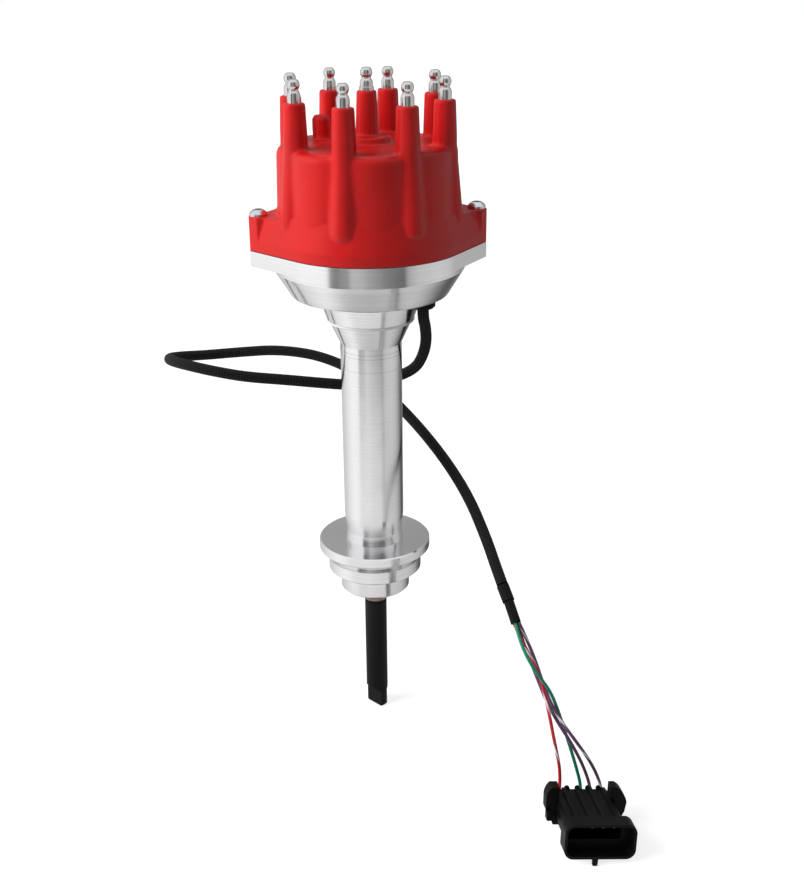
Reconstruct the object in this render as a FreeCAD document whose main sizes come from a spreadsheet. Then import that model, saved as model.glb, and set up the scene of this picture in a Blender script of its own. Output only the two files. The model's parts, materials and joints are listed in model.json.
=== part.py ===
import FreeCAD, Part
import math
import os
import re

import Sketcher
from FreeCAD import Placement, Rotation, Vector

# Ignition distributor for a V8 engine, with its cap, its drive shaft and its sensor harness.
# Millimetres. The origin is on the shaft's axis at the plane that seats on the engine block,
# +Z runs up the shaft to the cap, and the two cap ears point along +X and -X.

SIZES = {
    # Fits that repeat
    "seat_gap": 0.02,
    "running_gap": 0.05,
    "loose_gap": 0.3,
    "edge_break": 0.6,
    # Foot of the housing, from the pilot up to the hold-down flange
    "pilot_radius": 19.65,
    "pilot_bottom": -12.6,
    "pilot_edge": 1.0,
    "collar_radius": 26.45,
    "collar_top": 7.4,
    "ring_groove_radius": 24.0,
    "flange_radius": 31.5,
    "flange_bottom": 12.75,
    "flange_top": 18.5,
    # Tube, with a slim waist over the flange
    "tube_radius": 16.65,
    "waist_radius": 15.6,
    "foot_radius": 16.2,
    "waist_low": 24.0,
    "waist_high": 34.0,
    "tube_top": 135.2,
    "tube_bore_radius": 9.0,
    # Neck and bowl
    "neck_step_radius": 22.6,
    "neck_step_lip": 0.6,
    "neck_step": 148.3,
    "neck_top_radius": 27.0,
    "neck_top": 158.5,
    "bowl_underside": 163.0,
    "bowl_underside_radius": 31.0,
    "bowl_edge_radius": 42.3,
    "bowl_edge": 163.8,
    "bowl_cone_radius": 49.0,
    "bowl_cone_top": 174.7,
    "band_step": 1.4,
    "band_bottom": 177.1,
    "split_level": 187.5,
    "ear_bottom": 179.5,
    "ear_reach": 62.1,
    "ear_tip_half": 2.5,
    "bowl_bore_radius": 44.0,
    "bowl_bore_bottom": 178.0,
    "bowl_floor_radius": 37.0,
    "bowl_floor": 169.0,
    # Ball bearing in the floor of the bowl
    "bearing_bottom": 161.0,
    "bearing_width": 6.35,
    "bearing_radius": 14.29,
    "outer_race_bore": 11.9,
    "inner_race_radius": 8.7,
    "ball_radius": 2.2,
    "race_relief": 0.8,
    "cage_half_height": 2.7,
    "cage_wall": 0.55,
    "ring_groove_depth": 0.9,
    "snap_ring_thickness": 1.1,
    "snap_ring_width": 2.2,
    # Lower bush
    "bush_radius": 8.0,
    "bush_top": 24.0,
    "bush_nose_radius": 7.1,
    "bush_nose_bottom": -21.0,
    # Drive shaft with its tang
    "shaft_radius": 6.35,
    "shaft_top": 199.0,
    "shaft_line_radius": 6.1,
    "shaft_line_low": -23.0,
    "shaft_line_high": -22.2,
    "shaft_collar_radius": 8.2,
    "shaft_collar_height": 2.5,
    "tang_bottom": -93.9,
    "tang_top": -83.8,
    "tang_shoulder": -80.0,
    "tang_thickness": 4.6,
    "tang_angle": 127.7,
    # Trigger wheels
    "crank_wheel_radius": 26.0,
    "crank_wheel_root": 20.5,
    "crank_wheel_bottom": 178.0,
    "crank_wheel_thickness": 3.0,
    "crank_tooth_half": 4.2,
    "crank_hub_radius": 11.0,
    "crank_hub_bottom": 173.5,
    "cam_hub_bottom": 182.4,
    "cam_wheel_bottom": 186.0,
    "cam_wheel_thickness": 2.4,
    "cam_wheel_radius": 20.0,
    "cam_tab_radius": 26.0,
    "cam_tab_half": 6.0,
    # Sensor plate and sensors
    "plate_radius": 34.5,
    "plate_bore": 17.0,
    "plate_thickness": 2.0,
    "plate_screw_circle": 30.5,
    "plate_screw_radius": 1.75,
    "plate_screw_head": 3.2,
    "plate_screw_head_height": 1.8,
    "plate_screw_depth": 4.0,
    "sensor_gap": 0.9,
    "sensor_width": 15.0,
    "sensor_length": 8.6,
    "sensor_corner": 1.5,
    "sensor_foot_height": 3.0,
    "crank_sensor_top": 184.5,
    "cam_sensor_top": 192.0,
    "crank_sensor_angle": 70.0,
    "cam_sensor_angle": 292.0,
    # Rotor
    "rotor_base_bottom": 190.4,
    "rotor_base_flange": 195.8,
    "rotor_base_hub_radius": 10.5,
    "rotor_base_radius": 19.0,
    "rotor_screw_circle": 16.0,
    "rotor_screw_radius": 1.75,
    "rotor_disc_radius": 24.0,
    "rotor_disc_top": 203.5,
    "rotor_post_radius": 10.5,
    "rotor_top": 224.5,
    "rotor_arm_width": 13.0,
    "rotor_arm_reach": 33.0,
    "rotor_arm_bottom": 216.0,
    "blade_thickness": 1.5,
    "blade_width": 8.0,
    "blade_reach": 37.2,
    "blade_back": 7.0,
    "spring_leaf_thickness": 0.5,
    "spring_leaf_rise": 3.0,
    "spring_leaf_width": 5.0,
    # Cap
    "rim_height": 5.5,
    "ear_top": 205.4,
    "skirt_top": 207.5,
    "skirt_slope": 3.6,
    "skirt_tip_slope": 4.6,
    "skirt_tip_half": 2.5,
    "ear_pad_half": 7.5,
    "cap_foot_radius": 47.8,
    "cap_shoulder_radius": 46.4,
    "panel_radius": 27.0,
    "cap_deck": 240.5,
    "shoulder_fillet": 4.0,
    "cap_lip_radius": 43.9,
    "cap_lip_bottom": 184.0,
    "cap_bore_radius": 41.0,
    "cap_roof_radius": 40.2,
    "cap_roof": 236.0,
    "cap_roof_fillet": 2.0,
    "cap_core_radius": 6.8,
    "cap_core_bottom": 231.5,
    "tower_circle": 40.41,
    "tower_base": 236.0,
    "tower_top": 263.0,
    "tower_top_radius": 5.5,
    "tower_base_radius": 6.5,
    "tower_edge": 1.0,
    "rib_top": 243.0,
    "rib_top_radius": 6.0,
    "rib_foot_circle": 42.8,
    "rib_foot": 203.5,
    "rib_foot_radius": 7.35,
    "boss_radius": 12.4,
    "boss_top_radius": 12.0,
    "boss_top": 244.4,
    "boss_edge": 1.2,
    "coil_tower_top": 266.5,
    "coil_tower_top_radius": 5.1,
    "coil_tower_foot_radius": 6.0,
    "vent_x": -22.0,
    "vent_y": 16.6,
    "vent_radius": 4.7,
    "vent_step": 251.6,
    "vent_crown_radius": 4.0,
    "vent_top": 252.8,
    "vent_hole_radius": 1.0,
    # Terminals, contacts, brush
    "terminal_head_radius": 3.175,
    "terminal_neck_radius": 2.45,
    "terminal_shank_radius": 3.35,
    "terminal_height": 11.2,
    "terminal_shank_height": 4.2,
    "terminal_shoulder_radius": 2.8,
    "terminal_shoulder_height": 5.3,
    "terminal_flat_radius": 1.75,
    "coil_skirt_radius": 3.8,
    "coil_skirt_height": 1.6,
    "stud_radius": 1.6,
    "stud_depth": 17.0,
    "insert_radius": 2.4,
    "insert_top": 253.0,
    "insert_hole": 245.8,
    "contact_bottom": 221.5,
    "brush_radius": 2.4,
    "brush_gap": 0.3,
    "brush_top": 238.0,
    "brush_sleeve_radius": 3.6,
    "brush_sleeve_bottom": 232.5,
    "brush_chamber_top": 244.0,
    "brush_sleeve_top": 253.5,
    "coil_hole": 249.0,
    "brush_spring_wire": 0.35,
    "brush_spring_radius": 1.7,
    "brush_spring_pitch": 1.35,
    # Cap screws
    "screw_inset": 5.1,
    "screw_head_radius": 4.75,
    "screw_head_height": 3.2,
    "screw_head_rim": 1.2,
    "screw_radius": 2.1,
    "screw_tip": 181.5,
    "recess_reach": 2.4,
    "recess_half": 0.5,
    "recess_depth": 1.8,
    # Harness
    "grommet_x": 26.0,
    "grommet_y": -16.2,
    "grommet_radius": 4.0,
    "grommet_lip_radius": 6.5,
    "grommet_lip_edge": 1.2,
    "grommet_neck_radius": 3.3,
    "grommet_bore": 2.0,
    "grommet_bottom": 157.0,
    "grommet_flange": 1.2,
    "sleeve_radius": 3.05,
    "large_shrink_radius": 3.3,
    "small_shrink_radius": 2.75,
    "wire_radius": 0.9,
    # Connector, tipped up at its mouth. Its own origin is under the middle of its core
    "connector_x": 90.69,
    "connector_y": -160.76,
    "connector_z": -89.97,
    "connector_length": 40.5,
    "mouth_shift": 1.5,
    "mouth_half": 18.3,
    "mouth_height": 18.7,
    "mouth_corner": 5.0,
    "mouth_length": 9.3,
    "mouth_wall": 1.4,
    "socket_depth": 20.0,
    "shell_half": 15.2,
    "shell_bottom": 5.2,
    "shell_top": 17.0,
    "shell_corner": 2.5,
    "cavity_pitch": 5.65,
    "cavity_height": 11.0,
    "cavity_radius": 2.5,
    "seal_depth": 6.0,
    "pin_bore": 1.2,
    "pin_radius": 0.8,
    "pin_back": 6.0,
    "pin_front": 12.0,
    "web_radius": 1.4,
    "web_length": 1.6,
    "rib_half": 1.1,
    "rib_rise": 1.0,
    "rib_pitch": 7.0,
    "nub_place": -0.5,
    "nub_half": 1.5,
    "nub_tip_half": 1.2,
    "nub_height": 3.6,
    "nub_thickness": 2.0,
    "lock_front": 28.0,
    "lock_thickness": 7.0,
    "lock_bottom": 3.5,
    "lock_bridge_half": 16.5,
    "lock_top": 24.4,
    "lock_left_inner": 14.3,
    "lock_left_top": 18.3,
    "lock_left_reach": 20.9,
    "lock_left_reach_height": 17.2,
    "lock_left_lobe": 20.7,
    "lock_left_lobe_height": 11.7,
    "lock_left_foot": 18.0,
    "lock_foot_height": 7.8,
    "lock_right_inner": 13.0,
    "lock_right_top": 15.9,
    "lock_right_bend": 20.3,
    "lock_right_bend_height": 19.7,
    "lock_right_reach": 21.7,
    "lock_right_reach_height": 15.7,
    "lock_right_lobe": 21.0,
    "lock_right_lobe_height": 11.0,
    "lock_right_foot": 19.5,
    "lock_round": 9.0,
    "lock_tab_front": 24.0,
    "lock_tab_thickness": 3.0,
}

# Sizes that follow from others
TIED_SIZES = {
    "band_radius": "bowl_cone_radius + band_step",
    "skirt_top_radius": "band_radius - skirt_slope",
    "skirt_top_reach": "ear_reach - skirt_tip_slope",
    "screw_reach": "ear_reach - screw_inset",
}

TOWERS = 8
TOWER_STEP = 360.0 / TOWERS
FIRST_TOWER = TOWER_STEP / 2.0
BALLS = 9

# Routes of the harness, from the grommet to the connector
SLEEVE_ROUTE = [
    (26.0, -16.2, 157.0), (26.0, -16.2, 151.5), (28.0, -10.8, 145.5), (29.8, -3.3, 134.6),
    (29.5, 6.6, 123.4), (27.0, 17.2, 112.6), (19.1, 25.8, 105.3), (6.3, 30.0, 101.2),
    (-8.7, 29.1, 100.1), (-26.7, 27.0, 103.2), (-47.0, 26.7, 106.4), (-68.4, 27.9, 108.8),
    (-86.7, 32.4, 111.8), (-100.9, 40.5, 113.4), (-110.2, 53.6, 112.1), (-112.3, 69.7, 108.7),
    (-105.4, 83.9, 104.8), (-91.1, 92.3, 102.1), (-71.3, 95.4, 101.9), (-46.2, 92.1, 103.4),
    (-19.1, 82.3, 100.6), (6.6, 64.0, 90.5), (25.8, 40.3, 75.8), (41.6, 12.8, 60.1),
    (51.9, -15.0, 45.8), (57.3, -40.0, 30.9), (59.5, -53.3, 21.9), (61.5, -63.0, 14.9),
]
SHRINK_ROUTES = {
    "shrink_large": [(61.57, -63.39, 14.55), (63.5, -70.2, 8.65)],
    "shrink_small": [(63.55, -70.36, 8.49), (65.7, -79.0, 0.3)],
}
WIRE_ROUTES = {
    "wire_red_white": [
        (64.9, -78.7, -0.6), (66.9, -86.3, -5.4), (70.5, -93.0, -12.0), (74.0, -98.0, -19.0),
        (76.5, -103.5, -29.5), (78.0, -108.5, -39.5), (80.9, -110.9, -55.8),
        (84.1, -111.2, -70.6), (84.3, -111.7, -84.7), (81.8, -118.3, -85.0),
    ],
    "wire_green": [
        (65.2, -80.2, 0.8), (65.4, -89.3, -4.0), (68.5, -97.5, -11.5), (73.0, -102.0, -18.5),
        (79.3, -103.8, -27.6), (84.4, -102.5, -41.4), (88.1, -105.2, -53.7),
        (92.1, -110.5, -67.9), (96.5, -112.3, -85.3), (93.1, -118.9, -85.9),
    ],
    "wire_violet": [
        (66.9, -78.2, -0.5), (68.4, -82.5, -7.4), (70.8, -87.6, -15.0), (74.5, -92.7, -25.4),
        (78.2, -100.3, -35.8), (82.4, -108.5, -43.6), (89.4, -110.4, -55.3),
        (96.8, -110.7, -70.6), (101.6, -112.5, -85.7), (98.7, -119.2, -86.3),
    ],
    "wire_violet_white": [
        (67.1, -79.6, 1.0), (70.7, -85.4, -7.4), (74.2, -90.3, -17.1), (77.4, -96.3, -28.2),
        (80.3, -103.7, -36.7), (85.9, -112.0, -45.0), (93.5, -113.4, -56.3),
        (101.9, -112.7, -70.6), (107.6, -112.8, -86.1), (104.4, -119.4, -86.7),
    ],
}
CONNECTOR_TURN = (-2.89, 4.14, -9.53)
WAYS = [-2, 0, 1, 2]
EMPTY_WAY = -1
PLATE_SCREW_ANGLES = [10.0, 130.0, 230.0]

doc = FreeCAD.newDocument("distributor")
sheet = doc.addObject("Spreadsheet::Sheet", "Sizes")
cells = [(alias, repr(value)) for alias, value in SIZES.items()]
cells += [(alias, "=" + rule) for alias, rule in TIED_SIZES.items()]
for row, (alias, content) in enumerate(cells, start=1):
    sheet.set("A%d" % row, alias)
    sheet.set("B%d" % row, content)
    sheet.setAlias("B%d" % row, alias)
doc.recompute()

NAMES = sorted([alias for alias, content in cells], key=len, reverse=True)
ALIAS = re.compile(r"\b(" + "|".join(NAMES) + r")\b")
subparts = []


def formula(text):
    """An expression in which the name of each size points at its cell."""
    return ALIAS.sub(lambda found: "Sizes." + found.group(0), text)


def size(text):
    """The value of an expression of sizes, now."""
    value = sheet.evalExpression(formula(text))
    return float(getattr(value, "Value", value))


def bind(target, place, text):
    target.setExpression(place, formula(text))


def seat(target, x="0", y="0", z="0", axis=Vector(0, 0, 1), angle=0.0):
    """Turn a sub-part and bind the place of its origin to the sheet."""
    target.Placement = Placement(Vector(size(x), size(y), size(z)), Rotation(axis, angle))
    for letter, text in (("x", x), ("y", y), ("z", z)):
        if text != "0":
            bind(target, "Placement.Base." + letter, text)


def new_body(label):
    made = doc.addObject("PartDesign::Body", label)
    made.Label = label
    subparts.append(made)
    return made


def plane(body, role):
    return [item for item in body.Origin.OriginFeatures if item.Role == role][0]


def new_sketch(body, role, level="0"):
    sketch = body.newObject("Sketcher::SketchObject", body.Label + "_outline")
    sketch.AttachmentSupport = (plane(body, role), [""])
    sketch.MapMode = "FlatFace"
    if level != "0":
        bind(sketch, "AttachmentOffset.Base.z", level)
    return sketch


def fix_point(sketch, geometry, end, x, y):
    """Hold one end of a sketch's edge at two expressions."""
    for kind, text, axis in (("DistanceX", x, -2), ("DistanceY", y, -1)):
        if text == "0":
            sketch.addConstraint(Sketcher.Constraint("PointOnObject", geometry, end, axis))
        else:
            rule = Sketcher.Constraint(kind, -1, 1, geometry, end, size(text))
            number = sketch.addConstraint(rule)
            bind(sketch, "Constraints[%d]" % number, text)


def arc_between(start, end, radius, turn):
    """An arc of a known radius. turn is 1 if it runs anticlockwise from start to end, else -1."""
    middle = (start + end) / 2.0
    chord = end - start
    rise = math.sqrt(max(radius ** 2 - (chord.Length / 2.0) ** 2, 0.0))
    side = Vector(-chord.y, chord.x, 0).normalize()
    centre = middle + side * rise * turn
    first = math.atan2(start.y - centre.y, start.x - centre.x)
    last = math.atan2(end.y - centre.y, end.x - centre.x)
    circle = Part.Circle(centre, Vector(0, 0, 1), radius)
    if turn > 0:
        return Part.ArcOfCircle(circle, first, last)
    return Part.ArcOfCircle(circle, last, first)


def draw(sketch, points):
    """Draw a closed outline. A point is (x, y), or (x, y, radius, turn) where an arc ends there."""
    spots = [Vector(size(point[0]), size(point[1]), 0) for point in points]
    edges = []
    for index, point in enumerate(points):
        start = spots[index - 1]
        end = spots[index]
        if len(point) == 2:
            edge = sketch.addGeometry(Part.LineSegment(start, end), False)
            first, last = 1, 2
        else:
            arc = arc_between(start, end, size(point[2]), point[3])
            edge = sketch.addGeometry(arc, False)
            first, last = (1, 2) if point[3] > 0 else (2, 1)
            number = sketch.addConstraint(Sketcher.Constraint("Radius", edge, size(point[2])))
            bind(sketch, "Constraints[%d]" % number, point[2])
        edges.append((edge, first, last))
    for index, (edge, first, last) in enumerate(edges):
        before, before_first, before_last = edges[index - 1]
        sketch.addConstraint(Sketcher.Constraint("Coincident", before, before_last, edge, first))
        fix_point(sketch, edge, last, points[index][0], points[index][1])
    return sketch


def draw_circle(sketch, x, y, radius):
    circle = Part.Circle(Vector(size(x), size(y), 0), Vector(0, 0, 1), size(radius))
    edge = sketch.addGeometry(circle, False)
    number = sketch.addConstraint(Sketcher.Constraint("Radius", edge, size(radius)))
    bind(sketch, "Constraints[%d]" % number, radius)
    fix_point(sketch, edge, 3, x, y)


def turn_about_z(body, kind, points):
    """A profile of (radius, height) points turned round the body's Z axis."""
    sketch = draw(new_sketch(body, "XZ_Plane"), points)
    made = body.newObject("PartDesign::" + kind, body.Label + "_" + kind.lower())
    made.Profile = sketch
    made.ReferenceAxis = (sketch, ["V_Axis"])
    made.Angle = 360.0
    return made


def pad(body, sketch, length, kind="Pad", reverse=False):
    made = body.newObject("PartDesign::" + kind, body.Label + "_" + kind.lower())
    made.Profile = sketch
    bind(made, "Length", length)
    made.Reversed = reverse
    return made


def polar(body, feature, count):
    doc.recompute()
    made = body.newObject("PartDesign::PolarPattern", body.Label + "_pattern")
    made.Originals = [feature]
    made.Axis = (plane(body, "Z_Axis"), [""])
    made.Angle = 360.0
    made.Occurrences = count
    body.Tip = made
    return made


def turned(label, points):
    made = new_body(label)
    turn_about_z(made, "Revolution", points)
    return made


def rounded(body, radius, wanted):
    """Round those edges of the body so far that the test accepts."""
    doc.recompute()
    base = body.Tip
    names = []
    for index, edge in enumerate(base.Shape.Edges, start=1):
        if wanted(edge):
            names.append("Edge%d" % index)
    made = body.newObject("PartDesign::Fillet", body.Label + "_rounding")
    made.Base = (base, names)
    bind(made, "Radius", radius)
    return made


def level_edge(height):
    """A test for edges that lie flat at one height."""
    def test(edge):
        low = min(vertex.Z for vertex in edge.Vertexes)
        high = max(vertex.Z for vertex in edge.Vertexes)
        return abs(low - height) < 1e-4 and abs(high - height) < 1e-4
    return test


def fixed_shape(label, shape):
    """A sub-part whose shape is worked out here, from the sheet."""
    made = doc.addObject("Part::Feature", label)
    made.Label = label
    made.Shape = shape
    subparts.append(made)
    return made


def ear_outline(radius, reach, half):
    """Round outline with two pointed ears: four tangents from a circle to two blunt tips."""
    swing = "(atan2(%s; %s) + acos(%s / hypot(%s; %s)))" % (half, reach, radius, half, reach)
    across = "%s * cos(%s)" % (radius, swing)
    along = "%s * sin(%s)" % (radius, swing)
    return [
        (reach, half), (across, along), ("-" + across, along, radius, 1), ("-" + reach, half),
        ("-" + reach, "-" + half), ("-" + across, "-" + along),
        (across, "-" + along, radius, 1), (reach, "-" + half),
    ]


def panel_outline(radius):
    """Eight bowed panels, one on each side of the cap, meeting at the towers."""
    centre = "(%s - panel_radius)" % radius
    half = TOWER_STEP / 2.0
    corner = ("(%s * cos(%g) + sqrt(panel_radius^2 - (%s * sin(%g))^2))"
              % (centre, half, centre, half))
    points = []
    for number in range(TOWERS):
        angle = FIRST_TOWER + number * TOWER_STEP
        points.append(("%s * cos(%g)" % (corner, angle), "%s * sin(%g)" % (corner, angle),
                       "panel_radius", 1))
    return points


def make_housing():
    body = new_body("housing")
    turn_about_z(body, "Revolution", [
        ("0", "pilot_bottom"), ("pilot_radius - pilot_edge", "pilot_bottom"),
        ("pilot_radius", "pilot_bottom + pilot_edge"), ("pilot_radius", "0"),
        ("collar_radius - edge_break", "0"), ("collar_radius", "edge_break"),
        ("collar_radius", "collar_top"), ("ring_groove_radius", "collar_top"),
        ("ring_groove_radius", "flange_bottom"), ("flange_radius - edge_break", "flange_bottom"),
        ("flange_radius", "flange_bottom + edge_break"),
        ("flange_radius", "flange_top - edge_break"), ("flange_radius - edge_break", "flange_top"),
        ("foot_radius", "flange_top"), ("waist_radius", "waist_low"),
        ("tube_radius", "waist_high"), ("tube_radius", "tube_top"),
        ("neck_step_radius", "neck_step"), ("neck_step_radius + neck_step_lip", "neck_step"),
        ("neck_top_radius", "neck_top"), ("bowl_underside_radius", "bowl_underside"),
        ("bowl_edge_radius - edge_break", "bowl_underside"), ("bowl_edge_radius", "bowl_edge"),
        ("bowl_cone_radius", "bowl_cone_top"), ("band_radius", "band_bottom"),
        ("band_radius", "split_level"), ("0", "split_level"),
    ])
    ears = draw(new_sketch(body, "XY_Plane", "ear_bottom"),
                ear_outline("band_radius", "ear_reach", "ear_tip_half"))
    pad(body, ears, "split_level - ear_bottom")
    pocket = "bearing_radius + seat_gap"
    ring_low = "bearing_bottom + bearing_width + seat_gap"
    ring_high = ring_low + " + snap_ring_thickness + 2 * seat_gap"
    turn_about_z(body, "Groove", [
        ("0", "split_level + 1"), ("0", "pilot_bottom - 1"),
        ("bush_radius + seat_gap", "pilot_bottom - 1"),
        ("bush_radius + seat_gap", "bush_top + seat_gap"),
        ("tube_bore_radius", "bush_top + seat_gap"),
        ("tube_bore_radius", "bearing_bottom - race_relief"),
        ("outer_race_bore", "bearing_bottom - race_relief"), ("outer_race_bore", "bearing_bottom"),
        (pocket, "bearing_bottom"), (pocket, ring_low),
        (pocket + " + ring_groove_depth", ring_low),
        (pocket + " + ring_groove_depth", ring_high), (pocket, ring_high), (pocket, "bowl_floor"),
        ("bowl_floor_radius", "bowl_floor"), ("bowl_bore_radius", "bowl_bore_bottom"),
        ("bowl_bore_radius", "split_level + 1"),
    ])
    holes = new_sketch(body, "XY_Plane", "split_level")
    draw_circle(holes, "screw_reach", "0", "screw_radius + seat_gap")
    draw_circle(holes, "-screw_reach", "0", "screw_radius + seat_gap")
    pad(body, holes, "split_level - ear_bottom + 1", "Pocket")
    outlet = new_sketch(body, "XY_Plane", "bowl_floor + 1")
    draw_circle(outlet, "grommet_x", "grommet_y", "grommet_neck_radius + seat_gap")
    pad(body, outlet, "bowl_floor - bowl_underside + 4", "Pocket")
    spot = new_sketch(body, "XY_Plane", "bowl_underside")
    draw_circle(spot, "grommet_x", "grommet_y", "grommet_lip_radius + seat_gap")
    pad(body, spot, "bowl_underside - grommet_bottom + 1", "Pocket")
    taps = new_sketch(body, "XY_Plane", "bowl_floor")
    for angle in PLATE_SCREW_ANGLES:
        draw_circle(taps, "plate_screw_circle * cos(%g)" % angle,
                    "plate_screw_circle * sin(%g)" % angle, "plate_screw_radius + seat_gap")
    pad(body, taps, "plate_screw_depth", "Pocket")


def make_bearing():
    top = "bearing_bottom + bearing_width"
    middle = "(bearing_bottom + bearing_width / 2)"
    pitch = "((outer_race_bore + inner_race_radius) / 2)"
    reach = "(ball_radius + running_gap)"
    outer_cut = "(outer_race_bore - %s)" % pitch
    half_outer = "sqrt(%s^2 - %s^2)" % (reach, outer_cut)
    turned("bearing_outer_race", [
        ("outer_race_bore", "bearing_bottom"), ("bearing_radius", "bearing_bottom"),
        ("bearing_radius", top), ("outer_race_bore", top),
        ("outer_race_bore", middle + " + " + half_outer),
        ("outer_race_bore", middle + " - " + half_outer, reach, -1),
    ])
    turned("bearing_inner_race", [
        ("shaft_radius + seat_gap", "bearing_bottom"), ("inner_race_radius", "bearing_bottom"),
        ("inner_race_radius", middle + " - " + half_outer),
        ("inner_race_radius", middle + " + " + half_outer, reach, -1),
        ("inner_race_radius", top), ("shaft_radius + seat_gap", top),
    ])
    centre = Vector(size(pitch), 0, size(middle))
    balls = []
    for number in range(BALLS):
        spot = Rotation(Vector(0, 0, 1), number * 360.0 / BALLS).multVec(centre)
        balls.append(Part.makeSphere(size("ball_radius"), spot))
    fixed_shape("bearing_balls", Part.makeCompound(balls))
    ring = Part.makeCylinder(size(pitch + " + cage_wall"), size("2 * cage_half_height"),
                             Vector(0, 0, size(middle + " - cage_half_height")))
    hole = Part.makeCylinder(size(pitch + " - cage_wall"), size("2 * cage_half_height"),
                             Vector(0, 0, size(middle + " - cage_half_height")))
    cage = ring.cut(hole)
    for ball in balls:
        outward = Vector(ball.CenterOfMass.x, ball.CenterOfMass.y, 0)
        pocket = Part.makeCylinder(size("ball_radius + seat_gap"), size("4 * cage_wall"),
                                   ball.CenterOfMass, outward)
        pocket.translate(-outward.normalize() * size("2 * cage_wall"))
        cage = cage.cut(pocket)
    fixed_shape("bearing_cage", cage)


def make_snap_rings():
    low = "bearing_bottom + bearing_width + 2 * seat_gap"
    outer = turned("bearing_snap_ring", [
        ("bearing_radius + ring_groove_depth - snap_ring_width", low),
        ("bearing_radius + ring_groove_depth - seat_gap", low),
        ("bearing_radius + ring_groove_depth - seat_gap", low + " + snap_ring_thickness"),
        ("bearing_radius + ring_groove_depth - snap_ring_width", low + " + snap_ring_thickness"),
    ])
    inner = turned("shaft_snap_ring", [
        ("shaft_radius - ring_groove_depth + seat_gap", low),
        ("shaft_radius - ring_groove_depth + snap_ring_width", low),
        ("shaft_radius - ring_groove_depth + snap_ring_width", low + " + snap_ring_thickness"),
        ("shaft_radius - ring_groove_depth + seat_gap", low + " + snap_ring_thickness"),
    ])
    for body, reach in ((outer, "bearing_radius"), (inner, "shaft_radius")):
        gap = draw(new_sketch(body, "XY_Plane", low + " - 1"), [
            ("0", "-snap_ring_width"), (reach + " + 3", "-snap_ring_width"),
            (reach + " + 3", "snap_ring_width"), ("0", "snap_ring_width"),
        ])
        pad(body, gap, "snap_ring_thickness + 2", "Pocket", True)


def make_bush():
    turned("lower_bushing", [
        ("shaft_radius + running_gap", "bush_nose_bottom"), ("bush_nose_radius", "bush_nose_bottom"),
        ("bush_nose_radius", "pilot_bottom"), ("bush_radius", "pilot_bottom"),
        ("bush_radius", "bush_top"), ("shaft_radius + running_gap", "bush_top"),
    ])


def make_shaft():
    body = new_body("drive_shaft")
    ring_low = "bearing_bottom + bearing_width + seat_gap"
    ring_high = ring_low + " + snap_ring_thickness + 2 * seat_gap"
    neck = "shaft_radius - ring_groove_depth"
    turn_about_z(body, "Revolution", [
        ("0", "tang_bottom"), ("shaft_radius - edge_break", "tang_bottom"),
        ("shaft_radius", "tang_bottom + edge_break"), ("shaft_radius", "shaft_line_low"),
        ("shaft_line_radius", "shaft_line_low"), ("shaft_line_radius", "shaft_line_high"),
        ("shaft_radius", "shaft_line_high"),
        ("shaft_radius", "bearing_bottom - shaft_collar_height - seat_gap"),
        ("shaft_collar_radius", "bearing_bottom - shaft_collar_height - seat_gap"),
        ("shaft_collar_radius", "bearing_bottom - seat_gap"),
        ("shaft_radius", "bearing_bottom - seat_gap"), ("shaft_radius", ring_low),
        (neck, ring_low), (neck, ring_high), ("shaft_radius", ring_high),
        ("shaft_radius", "shaft_top - edge_break"), ("shaft_radius - edge_break", "shaft_top"),
        ("0", "shaft_top"),
    ])
    flats = new_sketch(body, "XZ_Plane")
    beyond = "(shaft_radius + 1)"
    for side in ("", "-"):
        draw(flats, [
            (side + "tang_thickness / 2", "tang_bottom - 1"), (side + beyond, "tang_bottom - 1"),
            (side + beyond, "tang_shoulder"), (side + "shaft_radius", "tang_shoulder"),
            (side + "tang_thickness / 2", "tang_top"),
        ])
    cut = pad(body, flats, "4 * shaft_radius", "Pocket")
    cut.Midplane = True
    seat(body, angle=size("tang_angle") - 90.0)


def tooth(body, level, root, tip, half, thickness):
    """One tooth that stands out of a wheel along +X."""
    outline = draw(new_sketch(body, "XY_Plane", level), [
        (root + " - 1", "-" + half), ("sqrt(%s^2 - %s^2)" % (tip, half), "-" + half),
        ("sqrt(%s^2 - %s^2)" % (tip, half), half, tip, 1), (root + " - 1", half),
    ])
    return pad(body, outline, thickness)


def make_trigger_wheels():
    bore = "shaft_radius + seat_gap"
    wheel_top = "crank_wheel_bottom + crank_wheel_thickness"
    crank = turned("crank_trigger_wheel", [
        (bore, "crank_hub_bottom"), ("crank_hub_radius", "crank_hub_bottom"),
        ("crank_hub_radius", "crank_wheel_bottom"), ("crank_wheel_root", "crank_wheel_bottom"),
        ("crank_wheel_root", wheel_top), (bore, wheel_top),
    ])
    first = tooth(crank, "crank_wheel_bottom", "crank_wheel_root", "crank_wheel_radius",
                  "crank_tooth_half", "crank_wheel_thickness")
    polar(crank, first, TOWERS)
    cam_top = "cam_wheel_bottom + cam_wheel_thickness"
    cam = turned("cam_trigger_wheel", [
        (bore, "cam_hub_bottom"), ("crank_hub_radius", "cam_hub_bottom"),
        ("crank_hub_radius", "cam_wheel_bottom"), ("cam_wheel_radius", "cam_wheel_bottom"),
        ("cam_wheel_radius", cam_top), (bore, cam_top),
    ])
    tooth(cam, "cam_wheel_bottom", "cam_wheel_radius", "cam_tab_radius", "cam_tab_half",
          "cam_wheel_thickness")


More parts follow.
